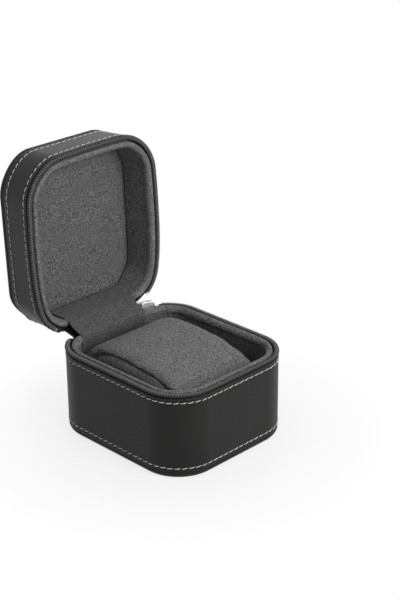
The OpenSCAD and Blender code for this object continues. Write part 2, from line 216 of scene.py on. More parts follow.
def smooth_share(share: Array) -> Array:
    """A share held between 0 and 1, with level ends: three squares less two cubes."""
    share = np.clip(share, 0, 1)
    return share * share * (3 - 2 * share)


def unit(vectors: Array) -> Array:
    """The same directions, each of length 1."""
    return vectors / np.linalg.norm(vectors, axis=-1, keepdims=True)


def circle(count: int) -> Array:
    """Angles right round a circle, in equal steps from 0."""
    return np.linspace(0, TAU, count, endpoint=False)


def raised(flat: Array, height: float) -> Array:
    """Points or directions of the plan, with one height added to all."""
    return np.concatenate([flat, np.full(flat.shape[:-1] + (1,), height)], -1)


def filled_out(wave: Array, power: float) -> Array:
    """A sine or cosine whose size is raised to a power: below 1 it squares an oval."""
    return np.sign(wave) * np.abs(wave) ** power


@dataclass(frozen=True)
class Fold:
    """The hinge's fold line, the lid's open stop, and the shape the unzipped lid takes.

    Attributes:
        y: Y of the fold line.
        z: Z of the fold line.
        open_degrees: How far back the lid lies.
        meet_z: Height at which the two halves of the zipper meet.
        panel_z: Height on the shut lid at which the pinch is full.
        rim_depth: How far below that the spring is full.
        spring: How far the rim stands out at the sides.
        spring_front: How far it stands out in front.
        pinch: How far the panel is drawn in at the sides.
        pinch_corner: How much further it is drawn in at the corners.
        still: Distance from the corner arcs' centres up to which nothing moves.
        loose: Further distance after which a point moves in full.
        side_start: Y of the spring's end at the hinge.
        side_run: Length of the spring along a side.
        front_middle: X at which the front's spring is largest.
        front_run: Half the length of the front's wave.
    """

    y: float = 51.5
    z: float = 46.6
    open_degrees: float = 92.3
    meet_z: float = 49.8
    panel_z: float = 77.0
    rim_depth: float = 24.0
    spring: float = 2.1
    spring_front: float = 1.5
    pinch: float = 1.0
    pinch_corner: float = 1.3
    still: float = 10.5
    loose: float = 6.0
    side_start: float = 29.0
    side_run: float = 82.0
    front_middle: float = 8.0
    front_run: float = 60.0

    def sprung(self, points: Array) -> Array:
        """Lets the unzipped lid take its easy shape: rim sprung out, panel drawn in.

        Points near the wall move along the outline's normal. At the rim the move is the
        spring, as a bell curve along each side that ends at the hinge; towards the panel
        it turns into the pinch, which is largest at the corners and nil at the hinge.

        Args:
            points: Points of the shut lid.

        Returns:
            The same points, sprung.
        """
        away = points[..., :2] - np.clip(points[..., :2], [-PLAN.half_x, -PLAN.half_y],
                                         [PLAN.half_x, PLAN.half_y])
        reach = np.linalg.norm(away, axis=-1)
        normal = away / np.maximum(reach, 1e-9)[..., None]
        near = smooth_share((reach - self.still) / self.loose)
        rim = np.clip((self.panel_z - points[..., 2]) / self.rim_depth, 0, 1)
        run = np.clip((self.side_start - points[..., 1]) / self.side_run, 0, 1)
        along = np.sin(math.pi * run ** 0.7)
        across = 0.5 + 0.5 * np.cos(math.pi * (points[..., 0] - self.front_middle) / self.front_run)
        out = self.spring * along * normal[..., 0] ** 2
        out += self.spring_front * across * np.minimum(normal[..., 1], 0) ** 2
        corner = (2 * normal[..., 0] * normal[..., 1]) ** 2 * (1 + 0.5 * normal[..., 1])
        drawn = self.pinch * normal[..., 0] ** 2 + self.pinch_corner * corner
        drawn *= 1 - smooth_share((normal[..., 1] - 0.75) / 0.25)
        moved = np.array(points, float)
        moved[..., :2] += normal * (near * (out * rim - drawn * (1 - rim)))[..., None]
        return moved

    def laid_back(self, points: Array) -> Array:
        """Turns points of the shut lid round the fold line, by the opening angle about X.

        Args:
            points: Points of the shut lid.

        Returns:
            The same points with the lid open and sprung.
        """
        a = -math.radians(self.open_degrees)
        out = self.sprung(points)
        y, z = out[..., 1] - self.y, out[..., 2] - self.z
        out[..., 1] = self.y + y * math.cos(a) - z * math.sin(a)
        out[..., 2] = self.z + y * math.sin(a) + z * math.cos(a)
        return out

    def over(self, points: Array) -> Array:
        """Mirrors points of the base's rim to the shut lid's rim, in the plane they meet in."""
        out = np.array(points, float)
        out[..., 2] = 2 * self.meet_z - out[..., 2]
        return out


PLAN = CasePlan()
FOLD = Fold()


# ---- meshes


@dataclass
class Patch:
    """A grid of points, or many grids of one shape, that becomes one surface.

    Attributes:
        points: (n, m, 3) or (k, n, m, 3) points in millimetres.
        round_u: The first way closes on itself.
        round_v: The second way closes on itself.
        capped: The open ends of the first way are closed with a face.
        u: Texture coordinate along the first way, one more than n where it closes.
        v: Texture coordinate along the second way, in the same manner.
        wear: (n, m) share of edge wear, from 0 to 1.
    """

    points: Array
    round_u: bool = False
    round_v: bool = False
    capped: bool = False
    u: Array | None = None
    v: Array | None = None
    wear: Array | None = None

    def grids(self) -> Array:
        """The points as (k, n, m, 3)."""
        return self.points if self.points.ndim == 4 else self.points[None]

    def corners(self) -> tuple[Array, Array]:
        """Faces between neighbouring points, and their texture coordinates.

        Returns:
            (faces, 4) point numbers and (faces, 4, 2) coordinates, for all grids.
        """
        k, n, m, _ = self.grids().shape
        i, j = np.meshgrid(np.arange(n if self.round_u else n - 1),
                           np.arange(m if self.round_v else m - 1), indexing="ij")
        i, j = i.ravel(), j.ravel()
        across, up = np.stack([i, i + 1, i + 1, i], -1), np.stack([j, j, j + 1, j + 1], -1)
        faces = (across % n) * m + up % m
        u = np.arange(n + 1.0) if self.u is None else np.asarray(self.u, float)
        v = np.arange(m + 1.0) if self.v is None else np.asarray(self.v, float)
        coordinates = np.stack([u[across], v[up]], -1)
        faces = (faces[None] + (np.arange(k) * n * m)[:, None, None]).reshape(-1, 4)
        return faces, np.tile(coordinates, (k, 1, 1))

    def ends(self) -> Array:
        """Point numbers round each open end, where the ends are to be closed."""
        k, n, m, _ = self.grids().shape
        if not self.capped:
            return np.zeros((0, m), int)
        rings = np.stack([np.arange(m), (n - 1) * m + np.arange(m)[::-1]])
        return (rings[None] + (np.arange(k) * n * m)[:, None, None]).reshape(-1, m)


def mesh_piece(name: str, patches: Sequence[Patch], crease: float = 45.0) -> Object:
    """Makes one piece of patches, with outward faces, closed poles and a UV map.

    Args:
        name: Name of the piece.
        patches: Its surfaces.
        crease: Edges that turn more than this many degrees stay sharp.

    Returns:
        The object, at the origin.
    """
    points, faces, coordinates, wear, first = [], [], [], [], 0
    for patch in patches:
        grids = patch.grids()
        quads, uv = patch.corners()
        caps = patch.ends()
        points.append(grids.reshape(-1, 3))
        faces += (quads + first).tolist() + (caps + first).tolist()
        coordinates += [uv.reshape(-1, 2), np.zeros((caps.size, 2))]
        share = np.zeros(grids.shape[1:3]) if patch.wear is None else patch.wear
        wear.append(np.broadcast_to(share, grids.shape[:3]).ravel())
        first += len(points[-1])
    mesh = bpy.data.meshes.new(name)
    mesh.from_pydata((np.concatenate(points) * MM).tolist(), [], faces)
    layer = mesh.uv_layers.new(name="UVMap")
    layer.data.foreach_set("uv", np.concatenate(coordinates).astype(np.float32).ravel())
    mark = mesh.attributes.new("wear", "FLOAT", "POINT")
    mark.data.foreach_set("value", np.concatenate(wear).astype(np.float32))
    made = bmesh.new()
    made.from_mesh(mesh)
    bmesh.ops.remove_doubles(made, verts=made.verts, dist=2e-6)
    bmesh.ops.dissolve_degenerate(made, edges=made.edges, dist=1e-7)
    bmesh.ops.recalc_face_normals(made, faces=made.faces)
    made.to_mesh(mesh)
    made.free()
    mesh.polygons.foreach_set("use_smooth", np.ones(len(mesh.polygons), bool))
    mesh.set_sharp_from_angle(angle=math.radians(crease))
    piece = bpy.data.objects.new(name, mesh)
    bpy.context.scene.collection.objects.link(piece)
    return piece


def arc(centre: tuple[float, float], radius: float, start: float, end: float,
        count: int) -> Array:
    """Points on an arc of a profile.

    Args:
        centre: Its centre.
        radius: Its radius.
        start: First direction in degrees.
        end: Last direction in degrees.
        count: How many points.

    Returns:
        (count, 2) points.
    """
    a = np.radians(np.linspace(start, end, count))
    return np.stack([centre[0] + radius * np.cos(a), centre[1] + radius * np.sin(a)], -1)


def line(start: tuple[float, float], end: tuple[float, float], count: int) -> Array:
    """Points on a straight stretch of a profile, both ends included."""
    return np.linspace(start, end, count)


def chained(points: Array, closed: bool = False) -> Array:
    """Distance run along a row of points, for a texture coordinate."""
    row = np.concatenate([points, points[:1]]) if closed else points
    return np.concatenate([[0.0], np.cumsum(np.linalg.norm(np.diff(row, axis=0), axis=-1))])


def smooth_line(points: Sequence[tuple[float, float]], count: int) -> Array:
    """A flowing line through points: each stretch is a cubic with the neighbours' slope.

    Args:
        points: Points that the line goes through.
        count: How many points to return.

    Returns:
        (count, 2) points.
    """
    p = np.asarray(points, float)
    ends = np.concatenate([[2 * p[0] - p[1]], p, [2 * p[-1] - p[-2]]])
    t = np.linspace(0, len(p) - 1 - 1e-9, count)
    i, f = t.astype(int), (t % 1)[:, None]
    a, b, c, d = ends[i], ends[i + 1], ends[i + 2], ends[i + 3]
    return 0.5 * (2 * b + (c - a) * f + (2 * a - 5 * b + 4 * c - d) * f ** 2
                  + (3 * b - a - 3 * c + d) * f ** 3)


def thickened(middle: Array, thickness: Array | float) -> Array:
    """The closed outline of a strip whose middle line is given, with rounded ends.

    Each side is the middle line moved by half the thickness along its normal.

    Args:
        middle: (m, 2) middle line.
        thickness: Thickness, the same all along or one for each point.

    Returns:
        (2 m + 2, 2) outline.
    """
    slope = unit(np.gradient(middle, axis=0))
    normal = np.stack([-slope[:, 1], slope[:, 0]], -1)
    half = np.broadcast_to(np.asarray(thickness) / 2, (len(middle),))[:, None]
    left, right = middle + normal * half, middle - normal * half
    first = middle[:1] - slope[:1] * half[:1]
    last = middle[-1:] + slope[-1:] * half[-1:]
    return np.concatenate([left, last, right[::-1], first])


def ripples(s: Array, seed: int, wave: float, length: float) -> Array:
    """A gentle unevenness that closes on itself: a sum of sines with seeded phases.

    Args:
        s: Where to work it out, in the unit of wave and length.
        seed: Seed of the phases.
        wave: Shortest wave length.
        length: Length after which the pattern repeats.

    Returns:
        Values of about -1 to 1.
    """
    random = np.random.default_rng(seed)
    top = max(2, int(length / wave))
    turns = random.integers(max(1, top // 4), top + 1, 7)
    phases = random.uniform(0, TAU, 7)
    total = np.zeros_like(np.asarray(s, float))
    for turn, phase in zip(turns, phases):
        total += np.sin(TAU * turn * s / length + phase)
    return total / 3.0


# ---- materials


class Shader:
    """A short way to place and join the nodes of one material or node group."""

    def __init__(self, tree: Tree) -> None:
        """Takes the tree that the nodes go into."""
        self.tree = tree

    def add(self, kind: str, inputs: dict | None = None, **settings: object) -> Node:
        """Places a node.

        Args:
            kind: Node type.
            inputs: Values or sockets by input name or number.
            settings: Properties of the node.

        Returns:
            The node.
        """
        node = self.tree.nodes.new(kind)
        for key, value in settings.items():
            setattr(node, key, value)
        self.feed(node, inputs or {})
        return node

    def feed(self, node: Node, inputs: dict) -> None:
        """Fills a node's inputs.

        Args:
            node: The node.
            inputs: Values or sockets by input name or number.
        """
        for key, value in inputs.items():
            if isinstance(value, Socket):
                self.tree.links.new(value, node.inputs[key])
            else:
                node.inputs[key].default_value = value

    def calc(self, operation: str, *values: object, clamp: bool = False) -> Socket:
        """A Math node's result.

        Args:
            operation: Its operation.
            values: Numbers or sockets.
            clamp: Whether the result is held between 0 and 1.

        Returns:
            The result's socket.
        """
        node = self.add("ShaderNodeMath", dict(enumerate(values)), operation=operation,
                        use_clamp=clamp)
        return node.outputs[0]

    def noise(self, vector: object, scale: float, detail: float = 3.0,
              roughness: float = 0.5) -> Socket:
        """A Noise texture's value."""
        return self.add("ShaderNodeTexNoise", {"Vector": vector, "Scale": scale,
                                               "Detail": detail,
                                               "Roughness": roughness}).outputs[0]

    def spread(self, value: object, low: float, high: float, to_low: float = 0.0,
               to_high: float = 1.0) -> Socket:
        """A Map Range node's result, held inside its new range."""
        return self.add("ShaderNodeMapRange",
                        {"Value": value, "From Min": low, "From Max": high,
                         "To Min": to_low, "To Max": to_high}).outputs[0]

    def blend(self, share: object, first: object, second: object) -> Socket:
        """A mix of two colours."""
        first = (*first, 1.0) if isinstance(first, tuple) else first
        second = (*second, 1.0) if isinstance(second, tuple) else second
        node = self.add("ShaderNodeMix", data_type="RGBA", clamp_factor=True)
        self.feed(node, {0: share, 6: first, 7: second})
        return node.outputs[2]

    def group(self, group: Tree, inputs: dict) -> Node:
        """Places a shared effect with this material's own values."""
        return self.add("ShaderNodeGroup", inputs, node_tree=group)


def effect(name: str, inputs: dict[str, float | None], outputs: Sequence[str],
           draw: Callable[[Shader, dict], dict]) -> Tree:
    """Builds a shared effect as a node group, once.

    Args:
        name: Name of the effect.
        inputs: Each input's default, by name; None makes it a vector.
        outputs: Names of its values.
        draw: Places the nodes and returns the socket of each output.

    Returns:
        The node group.
    """
    found = bpy.data.node_groups.get(name)
    if found:
        return found
    tree = bpy.data.node_groups.new(name, "ShaderNodeTree")
    for label, default in inputs.items():
        kind = "NodeSocketVector" if default is None else "NodeSocketFloat"
        socket = tree.interface.new_socket(label, in_out="INPUT", socket_type=kind)
        if default is not None:
            socket.default_value = default
    for label in outputs:
        tree.interface.new_socket(label, in_out="OUTPUT", socket_type="NodeSocketFloat")
    shader = Shader(tree)
    source = shader.add("NodeGroupInput")
    made = draw(shader, {label: source.outputs[label] for label in inputs})
    shader.add("NodeGroupOutput", made)
    return tree


def grain_effect() -> Tree:
    """Fine leather grain: small pebbles with soft valleys, and broad uneven shade."""

    def draw(shader: Shader, given: dict) -> dict:
        """Pebbles from the distance to cell walls, roughened by noise."""
        wobble = shader.noise(given["Vector"], 900.0, 2.0)
        offset = shader.add("ShaderNodeVectorMath", {0: given["Vector"], 1: wobble},
                            operation="ADD")
        bent = shader.add("ShaderNodeMix", {0: 0.0004, 4: given["Vector"],
                                            5: offset.outputs[0]}, data_type="VECTOR")
        cells = shader.add("ShaderNodeTexVoronoi", {"Vector": bent.outputs[1],
                                                    "Scale": given["Cells"]},
                           feature="DISTANCE_TO_EDGE")
        pebble = shader.spread(cells.outputs["Distance"], 0.0, 0.28)
        fine = shader.noise(given["Vector"], 5200.0, 2.0)
        height = shader.calc("MULTIPLY_ADD", fine, 0.35, pebble)
        return {"Height": height, "Shade": shader.noise(given["Vector"], 28.0, 2.0)}

    return effect("leather_grain", {"Vector": None, "Cells": 1500.0}, ["Height", "Shade"], draw)


def wear_effect() -> Tree:
    """Rubbed edges: the piece's own wear mark, broken up by noise."""

    def draw(shader: Shader, given: dict) -> dict:
        """The wear mark times noise, sharpened and scaled by the amount."""
        patchy = shader.noise(given["Vector"], 420.0, 4.0, 0.6)
        broken = shader.calc("MULTIPLY", given["Mark"], shader.spread(patchy, 0.35, 0.65, 0.2, 1.0))
        return {"Mask": shader.calc("MULTIPLY", broken, given["Amount"], clamp=True)}

    return effect("edge_wear", {"Vector": None, "Mark": 0.0, "Amount": 0.5}, ["Mask"], draw)


def nap_effect() -> Tree:
    """Suede nap: fine fibres, mottling a few millimetres wide, and brushed patches."""

    def draw(shader: Shader, given: dict) -> dict:
        """Noises of three widths, from fibre to patch, mixed into height and shade."""
        fibre = shader.noise(given["Vector"], 1500.0, 1.0, 0.6)
        mottle = shader.noise(given["Vector"], 520.0, 4.0, 0.7)
        turned = shader.add("ShaderNodeMapping", {"Vector": given["Vector"],
                                                  "Rotation": (0.3, 0.5, 0.7),
                                                  "Scale": (1.0, 2.2, 1.4)})
        brushed = shader.noise(turned.outputs[0], 38.0, 2.0)
        height = shader.calc("MULTIPLY_ADD", mottle, 0.6, fibre)
        shade = shader.calc("MULTIPLY_ADD", shader.spread(fibre, 0.4, 0.6, -1.0, 1.0), 0.9,
                            shader.spread(mottle, 0.36, 0.64, -0.2, 0.2))
        return {"Height": height, "Shade": shade,
                "Brush": shader.spread(brushed, 0.3, 0.7)}

    return effect("suede_nap", {"Vector": None}, ["Height", "Shade", "Brush"], draw)


def weave_effect() -> Tree:
    """Woven tape: warp and weft as crossed waves along the tape's own coordinates."""

    def draw(shader: Shader, given: dict) -> dict:
        """Product of a wave along the tape and one across it, with uneven yarn."""
        split = shader.add("ShaderNodeSeparateXYZ", {0: given["Along"]})
        turn = shader.calc("DIVIDE", TAU, given["Pitch"])
        run = shader.calc("SINE", shader.calc("MULTIPLY", split.outputs[0], turn))
        rise = shader.calc("SINE", shader.calc("MULTIPLY", split.outputs[1], turn))
        cross = shader.spread(shader.calc("MULTIPLY", run, rise), -1.0, 1.0)
        yarn = shader.noise(given["Vector"], 1800.0, 2.0)
        return {"Height": shader.calc("MULTIPLY_ADD", yarn, 0.4, cross),
                "Shade": shader.calc("MULTIPLY", cross, yarn)}

    return effect("woven_tape", {"Along": None, "Vector": None, "Pitch": 0.5},
                  ["Height", "Shade"], draw)


def twist_effect() -> Tree:
    """Two-ply twist: slanted stripes along a thread's own coordinates."""

    def draw(shader: Shader, given: dict) -> dict:
        """A sine of the distance along the thread plus the turn round it."""
        split = shader.add("ShaderNodeSeparateXYZ", {0: given["Along"]})
        turned = shader.calc("MULTIPLY_ADD", split.outputs[1], 2.0,
                             shader.calc("DIVIDE", split.outputs[0], given["Lay"]))
        wave = shader.calc("SINE", shader.calc("MULTIPLY", turned, TAU))
        return {"Height": shader.spread(wave, -1.0, 1.0)}

    return effect("ply_twist", {"Along": None, "Lay": 0.9}, ["Height"], draw)


@dataclass(frozen=True)
class Finish:
    """A finish of the case; each kind draws its own nodes in draw."""

    name: str
    colour: Colour

    def material(self) -> bpy.types.Material:
        """The finish as a material, made the first time it is asked for."""
        found = bpy.data.materials.get(self.name)
        if found:
            return found
        made = bpy.data.materials.new(self.name)
        made.use_nodes = True
        made.node_tree.nodes.clear()
        shader = Shader(made.node_tree)
        surface = shader.add("ShaderNodeBsdfPrincipled")
        shader.add("ShaderNodeOutputMaterial", {"Surface": surface.outputs[0]})
        where = shader.add("ShaderNodeTexCoord")
        self.draw(shader, surface, where.outputs["Object"], where.outputs["UV"])
        return made

    def draw(self, shader: Shader, surface: Node, place: Socket, own: Socket) -> None:
        """Joins the finish's nodes to the surface shader.

        Args:
            shader: The material's nodes.
            surface: Its surface shader.
            place: Object coordinates.
            own: The piece's UV map.
        """
        raise NotImplementedError

    def tinted(self, share: float) -> Colour:
        """The finish's colour, darker or lighter by a share, up to white."""
        return tuple(min(1.0, c * share) for c in self.colour)

    def bump(self, shader: Shader, surface: Node, height: object, depth: float,
             strength: float = 1.0) -> None:
        """Leads a height, of 1 for a depth in millimetres, to the surface's normal."""
        node = shader.add("ShaderNodeBump", {"Height": height, "Strength": strength,
                                             "Distance": depth * MM})
        shader.feed(surface, {"Normal": node.outputs[0]})


@dataclass(frozen=True)
class Leather(Finish):
    """Smooth coated leather with a fine grain, a little rubbed along its edges."""

    worn: Colour = (0.04, 0.038, 0.036)
    rough: float = 0.42
    gloss: float = 0.2
    cells: float = 1500.0
    depth: float = 0.05

    def draw(self, shader: Shader, surface: Node, place: Socket, own: Socket) -> None:
        """Grain to bump and roughness, broad shade and edge wear to colour."""
        grain = shader.group(grain_effect(), {"Vector": place, "Cells": self.cells})
        mark = shader.add("ShaderNodeAttribute", attribute_name="wear")
        wear = shader.group(wear_effect(), {"Vector": place, "Mark": mark.outputs["Fac"],
                                            "Amount": 0.75})
        dark = self.tinted(0.8)
        light = self.tinted(1.25)
        body = shader.blend(shader.spread(grain.outputs["Shade"], 0.3, 0.7), dark, light)
        colour = shader.blend(wear.outputs["Mask"], body, self.worn)
        rough = shader.calc("MULTIPLY_ADD", grain.outputs["Height"], -0.08, self.rough + 0.05)
        rough = shader.calc("MULTIPLY_ADD", grain.outputs["Shade"], 0.10, rough)
        rough = shader.calc("MULTIPLY_ADD", wear.outputs["Mask"], -0.08, rough)
        shader.feed(surface, {"Base Color": colour, "Roughness": rough,
                              "Specular IOR Level": self.gloss})
        self.bump(shader, surface, grain.outputs["Height"], self.depth)


@dataclass(frozen=True)
class Suede(Finish):
    """Brushed microfibre suede: matt, mottled, with a soft sheen where it turns away."""

    sheen: float = 0.12
    contrast: float = 0.42
    depth: float = 0.3

    def draw(self, shader: Shader, surface: Node, place: Socket, own: Socket) -> None:
        """Nap to bump and colour, brushed patches to a second, darker colour."""
        nap = shader.group(nap_effect(), {"Vector": place})
        dark = self.tinted(1 - self.contrast)
        light = self.tinted(1 + self.contrast)
        share = shader.spread(nap.outputs["Shade"], -1.0, 1.0)
        fibres = shader.blend(share, dark, light)
        brushed = self.tinted(0.84)
        colour = shader.blend(shader.calc("MULTIPLY", nap.outputs["Brush"], 0.45), fibres, brushed)
        rough = shader.spread(nap.outputs["Shade"], -1.0, 1.0, 0.98, 0.86)
        shader.feed(surface, {"Base Color": colour, "Roughness": rough,
                              "Specular IOR Level": 0.15, "Sheen Weight": self.sheen,
                              "Sheen Roughness": 0.45, "Sheen Tint": (0.8, 0.8, 0.82, 1.0)})
        self.bump(shader, surface, nap.outputs["Height"], self.depth, 0.8)


@dataclass(frozen=True)
class Woven(Finish):
    """Woven polyester tape."""

    pitch: float = 0.62

    def draw(self, shader: Shader, surface: Node, place: Socket, own: Socket) -> None:
        """Weave to bump, and to painted light on the raised yarn and painted shade between it."""
        weave = shader.group(weave_effect(), {"Along": own, "Vector": place, "Pitch": self.pitch})
        dark = self.tinted(0.45)
        light = self.tinted(1.5)
        # Painted light and shade: the tape is lighter where the weave stands high and darker where
        # it sinks.
        colour = shader.blend(weave.outputs["Height"], dark, light)
        rough = shader.spread(weave.outputs["Shade"], 0.0, 0.7, 0.85, 0.62)
        shader.feed(surface, {"Base Color": colour, "Roughness": rough,
                              "Specular IOR Level": 0.3})
        self.bump(shader, surface, weave.outputs["Height"], 0.12, 0.9)


@dataclass(frozen=True)
class Thread(Finish):
    """Waxed two-ply sewing thread."""

    def draw(self, shader: Shader, surface: Node, place: Socket, own: Socket) -> None:
        """Twist to bump, and to painted shade in the valley between the plies."""
        twist = shader.group(twist_effect(), {"Along": own, "Lay": 0.95})
        fuzz = shader.noise(place, 4200.0, 2.0)
        soil = shader.noise(place, 55.0, 2.0)
        dark = self.tinted(0.55)
        # Painted shade: the thread is darker where the twist sinks, in the groove between the
        # plies.
        valley = shader.calc("MULTIPLY_ADD", twist.outputs["Height"], 0.75,
                             shader.calc("MULTIPLY", fuzz, 0.35))
        plies = shader.blend(valley, dark, self.colour)
        dull = self.tinted(0.82)
        colour = shader.blend(shader.spread(soil, 0.4, 0.7, 0.0, 0.5), plies, dull)
        rough = shader.spread(fuzz, 0.3, 0.7, 0.55, 0.75)
        shader.feed(surface, {"Base Color": colour, "Roughness": rough})
        self.bump(shader, surface, twist.outputs["Height"], 0.07)


@dataclass(frozen=True)
class Moulded(Finish):
    """Nylon or lacquered metal: even colour, faint flow marks and fine scratches."""

    rough: float = 0.35
    metallic: float = 0.0
    depth: float = 0.01

    def draw(self, shader: Shader, surface: Node, place: Socket, own: Socket) -> None:
        """Flow marks to colour and roughness, hair-fine scratches to bump."""
        flow = shader.noise(place, 260.0, 3.0)
        drawn = shader.add("ShaderNodeMapping", {"Vector": place, "Scale": (1.0, 1.0, 14.0),
                                                 "Rotation": (0.2, 0.4, 0.0)})
        hair = shader.noise(drawn.outputs[0], 900.0, 3.0, 0.7)
        dark = self.tinted(0.85)
        light = self.tinted(1.1)
        colour = shader.blend(shader.spread(flow, 0.3, 0.7), dark, light)
        rough = shader.calc("MULTIPLY_ADD", hair, 0.16, self.rough - 0.08)
        shader.feed(surface, {"Base Color": colour, "Roughness": rough,
                              "Metallic": self.metallic})
        self.bump(shader, surface, hair, self.depth, 0.6)


@dataclass(frozen=True)
class Inner(Finish):
    """Board or foam that the leather and the lining hide."""

    grain: float = 700.0

    def draw(self, shader: Shader, surface: Node, place: Socket, own: Socket) -> None:
        """Cells or pulp to colour, roughness and bump."""
        pores = shader.noise(place, self.grain, 4.0, 0.7)
        dark = self.tinted(0.7)
        colour = shader.blend(shader.spread(pores, 0.3, 0.7), dark, self.colour)
        rough = shader.spread(pores, 0.3, 0.7, 0.8, 0.95)
        shader.feed(surface, {"Base Color": colour, "Roughness": rough})
        self.bump(shader, surface, pores, 0.15, 0.7)


LEATHER = Leather("black_leather", (0.0120, 0.0115, 0.0110))
HINGE_LEATHER = Leather("hinge_leather", (0.013, 0.0126, 0.0122), rough=0.5, depth=0.06)
LIP_SUEDE = Suede("grey_lip_suede", (0.19, 0.19, 0.193), contrast=0.7)
LINING_SUEDE = Suede("grey_lining_suede", (0.155, 0.155, 0.158), contrast=0.7)
CUSHION_SUEDE = Suede("grey_cushion_suede", (0.19, 0.19, 0.192), contrast=0.7)
# Painted shade: the hinge flap is the lining's grey suede made darker, standing in for the shade
# that falls on it at the back of the base.
FLAP_SUEDE_PAINTED_SHADE = Suede("grey_flap_suede_painted_shade", (0.115, 0.115, 0.117), contrast=0.55)
END_SUEDE = Suede("grey_end_suede", (0.19, 0.19, 0.191), contrast=0.6)
TAPE = Woven("woven_tape", (0.022, 0.022, 0.023))
# Painted highlight: the coil is black nylon, but it is given a light grey colour so that its loops,
# and the cord that shares it, read as lit.
COIL_PAINTED_HIGHLIGHT = Moulded("nylon_coil_painted_highlight", (0.19, 0.19, 0.193), rough=0.36)
THREAD = Thread("stitching", (0.86, 0.84, 0.81))
NICKEL = Moulded("nickel_plate", (0.88, 0.87, 0.85), rough=0.44, metallic=1.0)
LACQUER = Moulded("black_lacquer", (0.012, 0.012, 0.012), rough=0.22)
BOARD = Inner("dark_board", (0.04, 0.038, 0.035))
# Painted shade: the foam is coloured dark grey so that the gap between the lid's wall lining and
# its panel shows as a shadow line.
FOAM_PAINTED_SHADE = Inner("foam_painted_gap_shade", (0.08, 0.08, 0.08), grain=1600.0)


class Slot(Enum):
    """Material slots of the record."""

    LEATHER = "leather"
    BOARD = "board"
    FOAM_PAINTED_SHADE = "foam"
    THREAD = "thread"
    TAPE = "zipper_tape"
    COIL_PAINTED_HIGHLIGHT = "zipper_coil"
    NICKEL = "bright_metal"
    LACQUER = "black_metal"
    LINING = "lining_suede"
    CUSHION = "cushion_suede"
    CUSHION_END = "cushion_end_suede"


class Part(Enum):
    """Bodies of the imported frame."""

    BASE = "base"
    LID = "lid"
    CUSHION = "cushion"
    SLIDER = "slider"
    LINK = "pull_link"
    TAB = "pull_tab"


def dress(piece: Object, finish: Finish, part: Part | None,
          nodes: Sequence[str] = ()) -> Object:
    """Gives a piece its finish, its body and the nodes it stands for, and reports it.

    Args:
        piece: The piece.
        finish: Its finish.
        part: The body it rides on; None where it bends between two.
        nodes: The CAD nodes it stands for.

    Returns:
        The piece.
    """
    piece.data.materials.clear()
    piece.data.materials.append(finish.material())
    if part is not None:
        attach(piece, part.value)
    if nodes:
        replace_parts(piece, *nodes)
    LOG.info("%s: %d faces, %s", piece.name, len(piece.data.polygons), finish.name)
    return piece


# ---- stitching


@dataclass(frozen=True)
class StitchRow:
    """One row of stitches round the case, sunk a little into the leather.

    Attributes:
        height: Height of the row on the shut case.
        inset: How far in from the leather's outer face, for a row on the lid's panel.
        count: How many stitches go round.
        length: Length of one stitch.
        radius: Thread radius.
        slant: How far each end of a stitch lies off the row.
        sunk: How far the row lies inside the side leather's face.
        seed: Seed of the stitches' unevenness.
    """

    height: float
    inset: float | None = None
    count: int = 88
    length: float = 3.1
    radius: float = 0.27
    slant: float = 0.2
    sunk: float = 0.07
    seed: int = 5

    def dimple(self, s: Array, z: Array, depth: float = 0.1) -> Array:
        """How far the thread pulls the leather in.

        A trough along the row, deepest at the holes between stitches: a bell curve of
        the distance to the row, times a wave with the stitches' pitch.

        Args:
            s: Distance along the outline.
            z: Height.
            depth: Depth between two holes.

        Returns:
            Depths, all positive.
        """
        near = np.exp(-((z - self.height) / 0.75) ** 2)
        hole = 0.5 + 0.5 * np.cos(TAU * s * self.count / PLAN.length)
        return near * (depth + 0.16 * hole ** 3)

    def threads(self, surface: Callable[[Array], tuple[Array, Array, Array]]) -> Patch:
        """The stitches, each an oval section that turns as it runs over its arch.

        A point is the row's point, lifted by the arch, plus the turning oval's two
        half-widths along the surface's normal and the row's side direction.

        Args:
            surface: Gives, for distances s, the row's points on the leather, the
                leather's normals and the side directions.

        Returns:
            All stitches of the row.
        """
        random = np.random.default_rng(self.seed)
        pitch = PLAN.length / self.count
        t = np.array([0.0, 0.06, 0.2, 0.4, 0.6, 0.8, 0.94, 1.0])
        a = np.arange(6) * TAU / 6
        centre = (np.arange(self.count) + 0.5) * pitch + random.normal(0, 0.05, self.count)
        reach = self.length * (1 + random.normal(0, 0.025, self.count))
        s = centre[:, None] + (t[None, :] - 0.5) * reach[:, None]
        point, normal, side = surface(s)
        lift = 0.14 - 0.5 * np.abs(2 * t - 1) ** 6
        slant = (self.slant + random.normal(0, 0.05, self.count))[:, None] * (2 * t[None, :] - 1)
        middle = point + normal * lift[None, :, None] + side * slant[..., None]
        turn = a[None, :] + (t[:, None] * 1.6 * math.pi)
        wide = self.radius * (1 + 0.16 * np.cos(2 * a))
        out = (np.cos(a) * wide)[None, None, :, None]
        across = (np.sin(a) * wide)[None, None, :, None]
        oval = 0.1 * self.radius * np.cos(2 * turn)[None, :, :, None]
        points = (middle[:, :, None, :] + normal[:, :, None, :] * (out * 0.9 + oval)
                  + side[:, :, None, :] * (across + oval))
        return Patch(points, round_v=True, capped=True, u=np.append(t, 1.0) * self.length,
                     v=np.linspace(0, 1, 7))


def side_row(row: StitchRow) -> Callable[[Array], tuple[Array, Array, Array]]:
    """The path of a row that runs level round the sides."""

    def surface(s: Array) -> tuple[Array, Array, Array]:
        """Points on the side leather, its normals and the upward direction."""
        point, normal = PLAN.at(s)
        place = raised(point - normal * row.sunk, row.height)
        return place, raised(normal, 0.0), np.broadcast_to([0.0, 0.0, 1.0], place.shape)

    return surface


